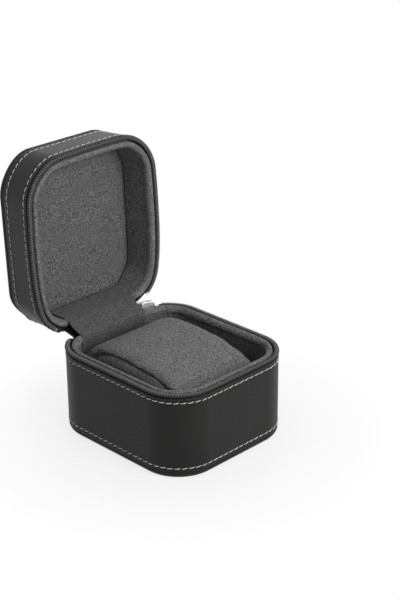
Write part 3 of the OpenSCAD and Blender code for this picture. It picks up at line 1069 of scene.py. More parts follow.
def leather_face(s: Array, z: Array, crease: Array, rows: Sequence[StitchRow],
                 seed: int) -> Array:
    """The outer face of a side leather, (n, m, 2) distances out and heights.

    Its distance in is the crease at the seam plus the pull of the stitch rows, with a
    faint unevenness.

    Args:
        s: (n,) distances along the outline.
        z: (m,) heights.
        crease: (m,) depth of the crease.
        rows: The stitch rows that pull it in.
        seed: Seed of the unevenness.

    Returns:
        The face.
    """
    out = -crease[None, :] - sum(row.dimple(s[:, None], z[None, :]) for row in rows)
    out += 0.03 * ripples(s, seed, 30.0, PLAN.length)[:, None]
    return np.stack([out, np.broadcast_to(z, out.shape)], -1)


# ---- zipper


@dataclass
class Zipper:
    """One half of the zipper: tape, coil and the run-on of the tape at both ends.

    Distances out are from the leather's outer face, so that inside it they are negative.

    Attributes:
        start: Distance along the outline at which the coil starts on the slider's side.
        start_left: Distance at which the tape starts on the other side.
        tape_t: The tape's thickness.
        coil_out: Distance out of the coil's middle.
        coil_z: Its height.
        coil_wide: Half its width.
        coil_high: Half its height.
        wire_r: Radius of its wire.
        pitch: Distance between two loops.
    """

    start: float = PLAN.half_x + math.radians(33) * PLAN.corner
    start_left: float = PLAN.half_x + math.radians(13) * PLAN.corner
    tape_t: float = 0.5
    coil_out: float = -1.05
    coil_z: float = 48.8
    coil_wide: float = 1.15
    coil_high: float = 0.55
    wire_r: float = 0.2
    pitch: float = 1.45

    def tape(self, over: bool) -> Patch:
        """The tape: a strip that stands behind the leather and bulges over its edge.

        Towards both ends it sinks back behind the leather.

        Args:
            over: Whether it is the lid's, mirrored and laid back.

        Returns:
            The strip.
        """
        s = PLAN.stations(self.start_left, PLAN.length - self.start, 0.9, 1.3)
        middle = smooth_line([(-1.4, 45.5), (-1.42, 46.8), (-1.3, 47.5), (-0.8, 47.85),
                              (-0.2, 47.95), (0.12, 48.12), (0.0, 48.4), (-0.6, 48.5),
                              (-1.4, 48.4), (-2.2, 48.3)], 34)
        profile = thickened(middle, self.tape_t)
        full = smooth_share(np.minimum((s - s[0] + 0.5) / 7.0, (s[-1] - s + 1.5) / 4.0))[:, None]
        out = -1.4 + (profile[:, 0] + 1.4) * full
        rise = np.where(profile[:, 1] > 46.0, 46.0 + (profile[:, 1] - 46.0) * (0.35 + 0.65 * full),
                        profile[:, 1])
        points = PLAN.swept(s, np.stack([out, rise], -1))
        points[..., 2] += 0.05 * ripples(s, 11, 9.0, PLAN.length)[:, None]
        return self.placed(points, s, profile, over)

    def run_on(self, over: bool) -> list[Patch]:
        """The tape's ends: the strip sinks behind the leather on its way to the hinge."""
        made = []
        for start, end in ((PLAN.half_x + 2.0, self.start + 0.3),
                           (PLAN.length - self.start - 0.3, PLAN.length - PLAN.half_x - 2.0)):
            s = PLAN.stations(start, end, 0.9, 1.3)
            low = np.array([[-1.36, 45.5], [-1.36, 46.2], [-1.35, 46.8], [-1.35, 47.35]])
            profile = thickened(low, self.tape_t)
            points = PLAN.swept(s, profile)
            made.append(self.placed(points, s, profile, over))
        return made

    def placed(self, points: Array, s: Array, profile: Array, over: bool) -> Patch:
        """Puts a strip of the base's zipper where it belongs and numbers its weave."""
        if over:
            points = FOLD.laid_back(FOLD.over(points))
        return Patch(points, round_v=True, capped=True, u=np.append(s, s[-1] + 1),
                     v=chained(profile, True))

    def coil(self, over: bool) -> list[Patch]:
        """The coil: one open loop of wire per tooth, round a cord.

        Each loop's middle line is an arc across the rim that leans along it; the wire's
        round section stands square to that arc.

        Args:
            over: Whether it is the lid's.

        Returns:
            The loops and the cord.
        """
        start, end = self.start + 1.5, PLAN.length - self.start - 1.5
        count = int((end - start) / self.pitch)
        centre = start + (np.arange(count) + 0.5) * (end - start) / count
        around = np.radians(np.linspace(-70, 250, 12))
        lean = 0.42 * np.sin(around / 2 - math.pi / 4)
        section = np.arange(5) * TAU / 5
        s = centre[:, None, None] + lean[None, :, None] + self.wire_r * np.sin(section)
        thick = self.wire_r * np.cos(section)[None, None, :]
        point, normal = PLAN.at(s)
        out = self.coil_out + (self.coil_wide + thick) * np.cos(around)[None, :, None]
        z = self.coil_z + (self.coil_high + thick) * np.sin(around)[None, :, None]
        z = np.broadcast_to(z, s.shape)
        loops = np.concatenate([point + normal * out[..., None], z[..., None]], -1)
        s = PLAN.stations(start - 1, end + 1, 1.2, 4.0)
        cord = PLAN.swept(s, arc((self.coil_out, self.coil_z - 0.1), 0.22, 0, 315, 8))
        if over:
            loops, cord = FOLD.laid_back(FOLD.over(loops)), FOLD.laid_back(FOLD.over(cord))
        return [Patch(loops, round_v=True, capped=True),
                Patch(cord, round_v=True, capped=True)]

    def build(self, part: Part, ends: Sequence[str] = ()) -> None:
        """Builds and dresses one half of the zipper.

        Args:
            part: The half's body, base or lid.
            ends: The CAD nodes that the tape's ends stand for.
        """
        half, over = part.value, part is Part.LID
        dress(mesh_piece(f"{half}_tape", [self.tape(over)], crease=75), TAPE, part,
              [f"{half}_zipper_tape"])
        dress(mesh_piece(f"{half}_tape_ends", self.run_on(over)), TAPE, part, ends)
        dress(mesh_piece(f"{half}_coil", self.coil(over)), COIL_PAINTED_HIGHLIGHT, part,
              [f"{half}_zipper_teeth"])


# ---- soft lips


@dataclass
class Lip:
    """The padded suede lip inside a rim.

    Attributes:
        outer: Its outer face, in from the leather.
        inner: Its inner face.
        low: Height it stands on.
        top: Its top.
        rise: Height of its arch.
        lean: How far the arch's crest leans outwards, as a share of half its width.
        foot: Outer face of its foot.
        ends: Distance along the outline at which it starts; None where it goes right
            round.
    """

    outer: float = 3.4
    inner: float = 6.75
    low: float = 45.2
    top: float = 49.3
    rise: float = 2.5
    lean: float = 0.42
    foot: float = 2.72
    ends: float | None = None

    def section(self, drop: Array, swell: Array) -> Array:
        """The lip's closed section at each station: a leaning arch on a foot.

        Args:
            drop: (n,) how much lower its top is.
            swell: (n,) how much wider it is.

        Returns:
            (n, m, 2) sections.
        """
        half = (self.inner - self.outer) / 2
        middle = -(self.inner + self.outer) / 2
        a = np.radians(np.linspace(-8, 188, 22))
        across = filled_out(np.cos(a), 0.8)
        up = filled_out(np.sin(a), 0.86)
        across = across + self.lean * (1 - across ** 2)
        out = middle + (half + swell[:, None]) * across[None, :]
        z = (self.top - drop[:, None] - self.rise) + self.rise * up[None, :]
        foot = np.array([[middle - half + 0.25, self.low], [middle, self.low - 0.1],
                         [-self.foot, self.low], [-self.foot - 0.08, self.low + 0.9]])
        foot = np.broadcast_to(foot, (len(drop), 4, 2))
        return np.concatenate([np.stack([out, z], -1), foot], 1)

    def patch(self, over: bool) -> Patch:
        """The lip as a swept pad with a little unevenness along it."""
        if self.ends is None:
            s = PLAN.around(1.5, 2.5)
        else:
            s = PLAN.stations(self.ends, PLAN.length - self.ends, 1.5, 2.5)
        wave = ripples(s, 3 if over else 4, 14.0, PLAN.length)
        drop = 0.05 * wave
        if self.ends is not None:
            gap = np.minimum(s - s[0], s[-1] - s)
            taper = np.clip(1 - gap / 8.0, 0, 1)
            drop = drop + 1.5 * taper ** 1.5
        section = self.section(drop, 0.05 * ripples(s, 8, 10.0, PLAN.length))
        points = PLAN.swept(s, section)
        if over:
            points = FOLD.laid_back(FOLD.over(points))
        closed = self.ends is None
        return Patch(points, round_u=closed, round_v=True, capped=not closed)


# ---- base


@dataclass
class Base:
    """The lower half: leather shell, bottom, linings, lip, zipper half and stitches."""

    leather_t: float = 1.0
    edge_z: float = 46.8
    seam_z: float = 3.0
    roll_r: float = 3.0
    floor_z: float = 6.8
    wall_in: float = 6.2
    rows: tuple[StitchRow, StitchRow] = field(
        default_factory=lambda: (StitchRow(6.1, seed=1), StitchRow(44.4, seed=2)))
    zipper: Zipper = field(default_factory=Zipper)
    lip: Lip = field(default_factory=Lip)

    def side(self) -> Object:
        """The side leather, from the bottom seam over its turned upper edge and down inside."""
        s = PLAN.around(0.66, 0.66)
        z = np.unique(np.concatenate([np.linspace(self.seam_z, 9, 16), np.linspace(9, 41, 14),
                                      np.linspace(41, self.edge_z - 0.5, 20)]))
        face = leather_face(s, z, 0.35 * np.exp(-((z - self.seam_z) / 0.45) ** 2), self.rows, 21)
        edge = arc((-self.leather_t / 2, self.edge_z - 0.5), 0.5, 0, 180, 9)[1:]
        inside = line((-self.leather_t, self.edge_z - 1.0), (-self.leather_t, self.seam_z), 6)
        rest = np.broadcast_to(np.concatenate([edge, inside]), (len(s), 14, 2))
        section = np.concatenate([face, rest], 1)
        wear = np.zeros(section.shape[1])
        wear[len(z) - 2:len(z) + 5] = [0.25, 0.6, 0.9, 1.0, 0.9, 0.5, 0.2]
        wear[:2] = [0.8, 0.4]
        patch = Patch(PLAN.swept(s, section), round_u=True, round_v=True,
                      u=np.append(s, PLAN.length), v=chained(section[0], True),
                      wear=np.broadcast_to(wear, section.shape[:2]))
        return mesh_piece("base_leather_shell", [patch], crease=60)

    def bottom(self) -> Object:
        """The bottom leather: a quarter round, a flat underside and a turned inner edge.

        The section runs from the middle of the underside out to the roll, up to the
        seam and back inside to the middle.
        """
        s = PLAN.around(1.6, 6.0)
        roll = arc((-self.roll_r, self.roll_r), self.roll_r, 270, 350, 14)
        roll = np.concatenate([roll, arc((-0.55, self.roll_r - 0.55), 0.5, 350, 440, 6)])
        inset = np.concatenate([[45.0, 40.0, 30.0, 19.0, 9.0, 7.4, 7.0, 6.6, 5.0], -roll[:, 0],
                                [1.3, 1.3, 3.0, 19.0, 30.0, 45.0]])
        height = np.concatenate([[0.0, 0.0, 0.0, 0.0, 0.0, 0.0, 0.22, 0.0, 0.0], roll[:, 1],
                                 [2.7, 1.4, 1.1, 1.1, 1.1, 1.1]])
        wear = np.zeros(len(inset))
        wear[12:20] = 0.35
        patch = Patch(PLAN.inward(s, inset, height), round_u=True,
                      wear=np.broadcast_to(wear, (len(s), len(inset))))
        return mesh_piece("base_bottom_leather", [patch], crease=50)

    def lining(self) -> Object:
        """The suede lining: wall and floor in one sheet, rounded where they meet.

        The section runs down the wall, round the floor's edge and on to the middle,
        then back underneath at the sheet's thickness.
        """
        s = PLAN.around(1.6, 3.0)
        bend, sheet = 2.6, 0.75
        corner = arc((-self.wall_in - bend, self.floor_z + bend), bend, 0, -90, 9)
        back = arc((-self.wall_in - bend, self.floor_z + bend), bend + sheet, -90, 0, 9)
        wall = line((-self.wall_in, 46.2), (-self.wall_in, self.floor_z + bend), 12)
        inset = np.concatenate([-wall[:, 0], -corner[1:, 0], [14.0, 19.0, 30.0, 45.0],
                                [45.0, 30.0, 19.0, 14.0], -back[:, 0], [self.wall_in - sheet]])
        height = np.concatenate([wall[:, 1], corner[1:, 1], np.full(4, self.floor_z),
                                 np.full(4, self.floor_z - sheet), back[:, 1], [46.2]])
        points = PLAN.inward(s, inset, height)
        _, normal = PLAN.at(s)
        upright = np.zeros(len(inset))
        upright[1:11] = np.sin(np.linspace(0, math.pi, 10))
        wave = 0.16 * ripples(s, 31, 24.0, PLAN.length)[:, None] * upright[None, :]
        points[..., :2] -= normal[:, None, :] * wave[..., None]
        ring = Patch(points, round_u=True, round_v=True)
        return mesh_piece("base_suede_lining", [ring], crease=60)

    def build(self) -> None:
        """Builds and dresses the base."""
        dress(self.side(), LEATHER, Part.BASE, ["base_side_leather"])
        dress(self.bottom(), LEATHER, Part.BASE, ["base_bottom_cover"])
        dress(self.lining(), LINING_SUEDE, Part.BASE,
              ["base_wall_lining", "base_floor_lining"])
        dress(mesh_piece("base_suede_lip", [self.lip.patch(False)], crease=75), LIP_SUEDE,
              Part.BASE, ["base_rim_lip"])
        self.zipper.build(Part.BASE, ["zipper_tape_ends"])
        for row, name in zip(self.rows, ("lower", "upper")):
            dress(mesh_piece(f"base_stitching_{name}", [row.threads(side_row(row))]), THREAD,
                  Part.BASE, [f"base_stitches_{name}"])


# ---- lid


@dataclass
class Lid:
    """The upper half, worked out shut: leather, padded panel, linings, lip, zipper half."""

    leather_t: float = 1.0
    edge_z: float = 53.0
    seam_z: float = 75.8
    roll_r: float = 1.4
    proud: float = 0.3
    dome_h: float = 5.3
    wall_in: float = 6.2
    panel_z: float = 69.8
    emboss_r: float = 19.0
    lining_z: float = 53.6
    layer_z: float = 54.0
    rows: tuple[StitchRow, StitchRow] = field(
        default_factory=lambda: (StitchRow(55.5, seed=3), StitchRow(71.8, seed=4)))
    top_row: StitchRow = field(default_factory=lambda: StitchRow(0.0, inset=3.6, count=84, seed=6))
    zipper: Zipper = field(default_factory=Zipper)
    lip: Lip = field(default_factory=lambda: Lip(ends=PLAN.half_x + math.radians(6) * PLAN.corner))

    def dome(self, inset: Array) -> Array:
        """Height of the panel: it swells quickly from its edge and is nearly level inside."""
        depth = np.clip((np.asarray(inset, float) - 2.4) / 19.0, 0, 1)
        swell = 1 - (1 - depth) ** 1.9
        low = self.seam_z + 1.75
        return low + (self.seam_z + self.dome_h - low) * swell

    def side(self) -> Object:
        """The side leather, from its turned lower edge up to the seam under the panel."""
        s = PLAN.around(0.66, 0.66)
        z = np.unique(np.concatenate([np.linspace(self.edge_z + 0.5, 59, 20),
                                      np.linspace(59, 68.5, 7),
                                      np.linspace(68.5, self.seam_z + 0.2, 20)]))
        face = leather_face(s, z, 0.3 * np.exp(-((z - self.seam_z) / 0.5) ** 2), self.rows, 22)
        inside = line((-self.leather_t, self.seam_z + 0.2), (-self.leather_t, self.edge_z + 1), 6)
        edge = arc((-self.leather_t / 2, self.edge_z + 0.5), 0.5, 180, 360, 9)[:-1]
        rest = np.broadcast_to(np.concatenate([inside, edge]), (len(s), 14, 2))
        section = np.concatenate([face, rest], 1)
        wear = np.zeros(section.shape[1])
        wear[-6:] = [0.2, 0.5, 0.8, 1.0, 0.9, 0.7]
        wear[:2] = [0.6, 0.25]
        patch = Patch(FOLD.laid_back(PLAN.swept(s, section)), round_u=True, round_v=True,
                      u=np.append(s, PLAN.length), v=chained(section[0], True),
                      wear=np.broadcast_to(wear, section.shape[:2]))
        return mesh_piece("lid_leather_shell", [patch], crease=60)

    def panel(self) -> Object:
        """The padded panel: a rolled edge that stands proud, a stitched dip and the dome.

        The section runs from under the panel out to the roll, over it and in along the
        dome to the middle.
        """
        s = PLAN.around(0.66, 0.66)
        centre = (-self.roll_r + self.proud, self.seam_z + self.roll_r + 0.02)
        roll = arc(centre, self.roll_r, -110, 62, 20)
        inner = np.concatenate([np.linspace(1.1, 7.0, 18), [8.5, 10, 12, 14, 16.5, 19, 24, 30,
                                                            37, 45]])
        height = self.dome(inner)
        height += 0.42 * np.exp(-((inner - 1.2) / 0.9) ** 2)
        near = np.exp(-((inner - self.top_row.inset) / 0.8) ** 2)[None, :]
        hole = (0.5 + 0.5 * np.cos(TAU * s * self.top_row.count / PLAN.length))[:, None]
        top = height - near * (0.16 + 0.16 * hole ** 3)
        inset = np.concatenate([[45.0, 19.0, 2.4], -roll[:, 0], inner])
        under = np.broadcast_to(np.concatenate([np.full(3, self.seam_z), roll[:, 1]]),
                                (len(s), 3 + len(roll)))
        grid = np.concatenate([under, top], 1)
        wear = np.zeros(len(inset))
        wear[8:22] = 0.3 + 0.6 * np.sin(np.linspace(0, math.pi, 14))
        patch = Patch(FOLD.laid_back(PLAN.inward(s, inset, grid)), round_u=True,
                      wear=np.broadcast_to(wear, grid.shape))
        return mesh_piece("lid_leather_panel", [patch], crease=60)

    def panel_row(self, s: Array) -> tuple[Array, Array, Array]:
        """The path of the panel's own stitches, in its dip."""
        point, normal = PLAN.at(s)
        inset = self.top_row.inset
        height = float(self.dome(np.array([inset]))[0]) - 0.2
        slope = float(np.gradient(self.dome(np.array([inset - 0.5, inset, inset + 0.5])), 0.5)[1])
        place = raised(point - normal * inset, height)
        return place, unit(raised(normal * slope, 1.0)), unit(raised(-normal, slope))

    def wall_lining(self) -> Object:
        """The suede on the lid's wall, a swept sheet with a little unevenness."""
        s = PLAN.around(1.6, 3.0)
        z = np.linspace(self.lining_z, self.panel_z - 0.1, 10)
        bulge = 0.14 * ripples(s, 41, 26.0, PLAN.length)[:, None] * np.sin(
            np.linspace(0, math.pi, 10))[None, :]
        front = np.stack([-self.wall_in + bulge, np.broadcast_to(z, bulge.shape)], -1)
        back = np.stack([np.full(bulge.shape, -self.wall_in + 0.8),
                         np.broadcast_to(z[::-1], bulge.shape)], -1)
        points = PLAN.swept(s, np.concatenate([front, back], 1))
        return mesh_piece("lid_suede_wall", [Patch(FOLD.laid_back(points), round_u=True,
                                                   round_v=True)], crease=60)

    def panel_lining(self) -> Object:
        """The padded suede panel inside the lid: soft edge, crown and a faint round dent.

        The height is the panel's level, plus a roll-away at its edge, less a low crown,
        plus the dent's soft rim, a bell curve of the distance to its circle.
        """
        s = PLAN.around(1.2, 1.8)
        inset = np.concatenate([self.wall_in + 0.05 + np.array([0, 0.3, 0.7, 1.2, 2, 3, 4.5]),
                                np.linspace(12.5, 45, 46)])
        depth = inset - self.wall_in
        away = 1.15 * np.exp(-depth / 1.1)
        crown = 0.35 * (1 - np.exp(-depth / 9.0))
        points = PLAN.inward(s, inset, self.panel_z + away - crown)
        reach = np.hypot(points[..., 0], points[..., 1])
        dent = 0.34 / (1 + np.exp((reach - self.emboss_r) / 0.55))
        brim = 0.12 * np.exp(-((reach - self.emboss_r - 1.2) / 0.9) ** 2)
        points[..., 2] += dent - brim
        back = PLAN.inward(s, inset[::-1], np.full(len(inset), self.panel_z + 0.75))
        return mesh_piece("lid_suede_panel", [Patch(FOLD.laid_back(
            np.concatenate([points, back], 1)), round_u=True, round_v=True)], crease=60)

    def layer(self, name: str, outer: float, inner: float, low: float,
              high: float) -> Object:
        """A hidden layer of the sprung lid: a ring round the wall, or a slab right across.

        Args:
            name: Name of the piece.
            outer: Depth of its outer face, in from the leather.
            inner: Depth of its inner face; half the case's width makes it a slab.
            low: Its lower level on the shut lid.
            high: Its upper level.

        Returns:
            The layer.
        """
        s = PLAN.around(1.6, 4.0)
        depth = np.linspace(outer, inner, 8)
        inset = np.concatenate([depth, depth[::-1], [outer]])
        height = np.concatenate([np.full(8, low), np.full(8, high), [(low + high) / 2]])
        points = FOLD.laid_back(PLAN.inward(s, inset, height))
        return mesh_piece(name, [Patch(points, round_u=True, round_v=True)])

    def layers(self) -> None:
        """Builds and dresses the board and foam layers that leather and lining hide."""
        top = self.panel_z + 0.8
        middle = PLAN.width / 2
        for name, finish, slot, sizes in (
                ("lid_wall_board", BOARD, Slot.BOARD, (1.05, 2.9, self.layer_z, top + 2.6)),
                ("lid_wall_foam", FOAM_PAINTED_SHADE, Slot.FOAM_PAINTED_SHADE, (3.0, 5.2, self.layer_z, top)),
                ("lid_pad", FOAM_PAINTED_SHADE, Slot.FOAM_PAINTED_SHADE, (5.3, middle, top, top + 2.5)),
                ("lid_top_board", BOARD, Slot.BOARD, (1.2, middle, top + 2.6, 75.1)),
                ("lid_top_foam", FOAM_PAINTED_SHADE, Slot.FOAM_PAINTED_SHADE, (4.2, middle, 75.2, 77.2))):
            dress(self.layer(f"{name}_layer", *sizes), finish, Part.LID, [name])

    def build(self) -> None:
        """Builds and dresses the lid."""
        self.layers()
        dress(self.side(), LEATHER, Part.LID, ["lid_side_leather"])
        dress(self.panel(), LEATHER, Part.LID, ["lid_top_panel"])
        dress(self.wall_lining(), LINING_SUEDE, Part.LID, ["lid_wall_lining"])
        dress(self.panel_lining(), LINING_SUEDE, Part.LID, ["lid_panel_lining"])
        dress(mesh_piece("lid_suede_lip", [self.lip.patch(True)], crease=75), LIP_SUEDE,
              Part.LID, ["lid_rim_lip"])
        self.zipper.build(Part.LID)
        for row, name in zip(self.rows, ("lower", "upper")):
            threads = row.threads(side_row(row))
            threads.points = FOLD.laid_back(threads.points)
            dress(mesh_piece(f"lid_stitching_{name}", [threads]), THREAD,
                  Part.LID, [f"lid_stitches_{name}"])
        threads = self.top_row.threads(self.panel_row)
        threads.points = FOLD.laid_back(threads.points)
        dress(mesh_piece("lid_stitching_top", [threads]), THREAD, Part.LID,
              ["lid_stitches_top"])


# ---- hinge


@dataclass
class HingeStrips:
    """The two strips that bend at the fold: leather outside and suede inside.

    Attributes:
        leather_right: Reach of the leather towards +X.
        leather_left: Its reach towards -X.
        suede_right: Reach of the suede towards +X on the base.
        suede_left: Its reach towards -X on the base.
        suede_lid: Its reach both ways on the lid.
        leather_t: The leather's thickness.
        leather_bend: Radius by which the leather bends with the corners.
        suede_t: The suede's thickness.
        suede_bend: Radius by which the suede bends.
    """

    leather_right: float = 21.3
    leather_left: float = 28.0
    suede_right: float = 21.4
    suede_left: float = 26.5
    suede_lid: float = 24.6
    leather_t: float = 0.75
    leather_bend: float = 22.2
    suede_t: float = 0.5
    suede_bend: float = 16.6

    def strip(self, name: str, middle: Array, thickness: float, left: Array,
              right: Array, corner: float) -> Object:
        """A strip carried along X, with softened side edges.

        Where it reaches past the straight back it bends with the corners: by the corner's
        radius less the root of its square less the square of the distance past. On the
        base that bend goes forward, and on the open lid upward.

        Args:
            name: Name of the piece.
            middle: (m, 2) middle line in Y and Z.
            thickness: Its thickness.
            left: (m,) reach towards -X at each point of the middle line.
            right: (m,) reach towards +X.
            corner: Corner radius that the strip follows.

        Returns:
            The strip.
        """
        slope = unit(np.gradient(middle, axis=0))
        normal = np.stack([-slope[:, 1], slope[:, 0]], -1)
        u = np.concatenate([[-1.0, -0.985], np.linspace(-0.96, 0.96, 33), [0.985, 1.0]])
        full = np.sqrt(np.clip(1 - ((np.abs(u) - 0.97) / 0.03).clip(0, 1) ** 2, 0.06, 1))
        x = np.where(u[:, None] < 0, u[:, None] * left[None, :], u[:, None] * right[None, :])
        past = np.clip(np.abs(x) - PLAN.half_x, 0, corner - 1)
        bend = corner - np.sqrt(corner ** 2 - past ** 2)
        lid_share = smooth_share((middle[:, 0] - 50.0) / 9.0)[None, :]
        sides = []
        for sign in (0.5, -0.5):
            yz = middle[None] + normal[None] * (sign * thickness * full)[:, None, None]
            wave = 0.05 * np.sin(x * 0.9 + 1.7 * np.sin(x * 0.21))
            yz = yz + normal[None] * wave[..., None]
            yz[..., 0] -= bend * (1 - lid_share)
            yz[..., 1] += bend * lid_share
            sides.append(np.concatenate([x[..., None], yz], -1))
        loop = np.concatenate([sides[0], sides[1][:, ::-1]], 1)
        run = chained(middle)
        return mesh_piece(name, [Patch(loop, round_v=True, capped=True, u=np.append(u, 1) * 22,
                                       v=np.concatenate([run, run[::-1], [0.0]]))], crease=70)

    def build(self) -> None:
        """Builds both strips; each bends between base and lid."""
        middle = smooth_line([(49.75, 43.1), (49.75, 46.2), (50.0, 47.05), (51.0, 47.75),
                              (53.4, 48.1), (56.0, 48.3), (58.2, 48.5), (61.0, 48.45)], 34)
        count = len(middle)
        leather = self.strip("hinge_leather", middle, self.leather_t,
                             np.full(count, self.leather_left),
                             np.full(count, self.leather_right), self.leather_bend)
        dress(leather, HINGE_LEATHER, None, ["hinge_leather_strip"])
        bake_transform(leather)
        middle = smooth_line([(44.5, 11.0), (44.5, 25.0), (44.5, 36.0), (44.2, 41.0),
                              (43.75, 45.4), (43.75, 48.0), (44.7, 49.75), (47.2, 50.6),
                              (51.0, 51.9), (54.5, 53.2), (58.5, 54.0), (64.0, 54.1),
                              (73.8, 53.75)], 76)
        rise = smooth_share((middle[:, 0] - 51.0) / 7.0)
        right = self.suede_right + (self.suede_lid - self.suede_right) * rise ** 2
        left = self.suede_left + (self.suede_lid - self.suede_left) * rise
        suede = self.strip("hinge_suede", middle, self.suede_t, left, right, self.suede_bend)
        dress(suede, FLAP_SUEDE_PAINTED_SHADE, None, ["hinge_lining_flap"])
        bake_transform(suede)


# ---- cushion


@dataclass
class Cushion:
    """The loose suede cushion: a bowed cover over foam and a gathered panel at each end.

    Attributes:
        length: Length along X between the shoulders.
        depth: Depth along Y.
        low: Height it lies at.
        middle: Height of its middle above that.
        crown: Height of its top above its middle.
        tilt: Slope of its top, up towards the back.
        shoulder: Radius of the roll at each end.
        fullness: Roundness of its section: 2 is an oval, more is squarer.
        seam: Size of the end seam, as a share of the section.
        voxel: Voxel of the remesh before the filling.
        frames: Frames of the filling.
        pressure: Pressure of the filling.
        cap: Furthest that the filling may move a point.
    """

    length: float = 54.0
    depth: float = 86.0
    low: float = 7.15
    middle: float = 22.0
    crown: float = 21.9
    tilt: float = 0.08
    shoulder: float = 2.6
    fullness: float = 2.5
    seam: float = 0.92
    voxel: float = 3.4
    frames: int = 20
    pressure: float = 4.0
    cap: float = 2.2

    def section(self, a: Array, draw: Array) -> tuple[Array, Array]:
        """The cushion's outline seen from its end.

        A rounded oval whose height differs above and below its middle, drawn in by draw
        and tilted up towards the back.

        Args:
            a: Angle round the section.
            draw: How far the outline is drawn in.

        Returns:
            Y and Z.
        """
        power = 2 / self.fullness
        c = filled_out(np.cos(a), power)
        s = filled_out(np.sin(a), power)
        y = (self.depth / 2 - draw) * c
        up = np.where(s > 0, self.crown - draw * 0.75, self.middle - draw * 0.9) * s
        return y, self.low + self.middle + up + np.where(s > 0, self.tilt * y * s, 0.0)

    def form(self, shrink: float) -> Array:
        """The closed form that the filling swells from.

        Along its length the section is full, then rolls in over the shoulder, then
        shrinks evenly to the middle of the end.

        Args:
            shrink: How much smaller than the finished cushion it is, all round.

        Returns:
            (n, m, 3) points.
        """
        a = circle(96)
        half = self.length / 2 - shrink
        roll = np.radians(np.linspace(0, 90, 7))[1:]
        shrunk = np.linspace(1, 0, 12)[1:]
        x = np.concatenate([np.linspace(0, half, 14), half + self.shoulder * np.sin(roll),
                            half + self.shoulder + 0.6 * (1 - shrunk ** 2)])
        draw = np.concatenate([np.zeros(14), 4.2 * (1 - np.cos(roll)), np.full(11, 4.2)]) + shrink
        scale = np.concatenate([np.ones(14 + 6), shrunk])
        x, draw, scale = (np.concatenate([sign * v[:0:-1], v]) for v, sign in
                          ((x, -1), (draw, 1), (scale, 1)))
        y, z = self.section(a[None, :], draw[:, None])
        centre = self.low + self.middle
        y, z = y * scale[:, None], centre + (z - centre) * scale[:, None]
        return np.stack([np.broadcast_to(x[:, None], y.shape), y, z], -1)

    def swollen(self, piece: Object) -> None:
        """Fills the cushion by cloth simulation and keeps the result in its mesh.

        Args:
            piece: The form, which is remeshed, simulated and held within the cap.
        """
        remesh = piece.modifiers.new("remesh", "REMESH")
        remesh.mode, remesh.voxel_size, remesh.use_smooth_shade = "VOXEL", self.voxel * MM, True
        self.apply(piece)
        start = self.coordinates(piece)
        scene = bpy.context.scene
        cloth = piece.modifiers.new("fill", "CLOTH")
        settings = cloth.settings
        settings.quality = 6
        settings.mass = 0.2
        settings.tension_stiffness = settings.compression_stiffness = 25
        settings.shear_stiffness = 12
        settings.bending_stiffness = 0.8
        settings.use_pressure = True
        settings.uniform_pressure_force = self.pressure
        settings.effector_weights.gravity = 0
        cloth.point_cache.frame_start, cloth.point_cache.frame_end = 1, self.frames
        for frame in range(1, self.frames + 1):
            scene.frame_set(frame)
        self.apply(piece)
        scene.frame_set(1)
        moved = self.coordinates(piece) - start
        far = np.linalg.norm(moved, axis=1, keepdims=True)
        held = start + moved * np.minimum(1, self.cap * MM / np.maximum(far, 1e-9))
        piece.data.vertices.foreach_set("co", held.astype(np.float32).ravel())

    @staticmethod
    def coordinates(piece: Object) -> Array:
        """The points of a piece's mesh, in metres."""
        out = np.zeros(len(piece.data.vertices) * 3, np.float32)
        piece.data.vertices.foreach_get("co", out)
        return out.reshape(-1, 3).astype(float)

    @staticmethod
    def apply(piece: Object) -> None:
        """Puts the modified mesh in the place of the mesh and drops the modifiers."""
        view = bpy.context.evaluated_depsgraph_get()
        mesh = bpy.data.meshes.new_from_object(piece.evaluated_get(view))
        old = piece.data
        piece.modifiers.clear()
        piece.data = mesh
        mesh.name = old.name
        bpy.data.meshes.remove(old)

    def gathers(self, a: Array) -> Array:
        """Puckers of the end seam against the angle round it: uneven sines, -1 to 1."""
        return ripples(a, 77, TAU / 46, TAU) * (0.7 + 0.3 * np.sin(3 * a + 1))

    def settled(self, piece: Object) -> None:
        """Fits the filled cushion to its space and sews in the end seams.

        Its box is brought to the finished size. Near each end, points within a bell
        curve of the seam's oval are drawn in along X, and the gathers lift and lower
        what lies round the seam.
        """
        points = self.coordinates(piece) / MM
        want_low = np.array([-self.length / 2 - self.shoulder, -self.depth / 2, self.low])
        want_high = np.array([-want_low[0], self.depth / 2,
                              self.low + self.middle + self.crown + 0.1])
        low, high = points.min(0), points.max(0)
        points = want_low + (points - low) * (want_high - want_low) / (high - low)
        centre = self.low + self.middle
        y, z = points[:, 1], points[:, 2] - centre
        lift = np.where(z > 0, self.tilt * y, 0.0)
        height = np.where(z > 0, self.crown + lift - 3, self.middle - 3)
        oval = (np.abs(y / (self.depth / 2 - 4)) ** self.fullness
                + np.abs(z / height) ** self.fullness) ** (1 / self.fullness)
        around = np.arctan2(z / height, y / (self.depth / 2 - 4))
        at_end = np.clip((np.abs(points[:, 0]) - self.length / 2 + 3) / 4, 0, 1)
        seam = np.exp(-((oval - self.seam) / 0.035) ** 2)
        pucker = self.gathers(around) * np.exp(-np.abs(oval - self.seam) / 0.1)
        points[:, 0] -= np.sign(points[:, 0]) * at_end * (1.5 * seam + 0.35 * pucker)
        top = np.exp(-((np.abs(points[:, 0]) - self.length / 2 - 1) / 3.5) ** 2)
        points[:, 2] += np.sign(z) * 0.25 * self.gathers(around) * top
        points[:, 2] = np.maximum(points[:, 2], self.low)
        piece.data.vertices.foreach_set("co", (points * MM).astype(np.float32).ravel())

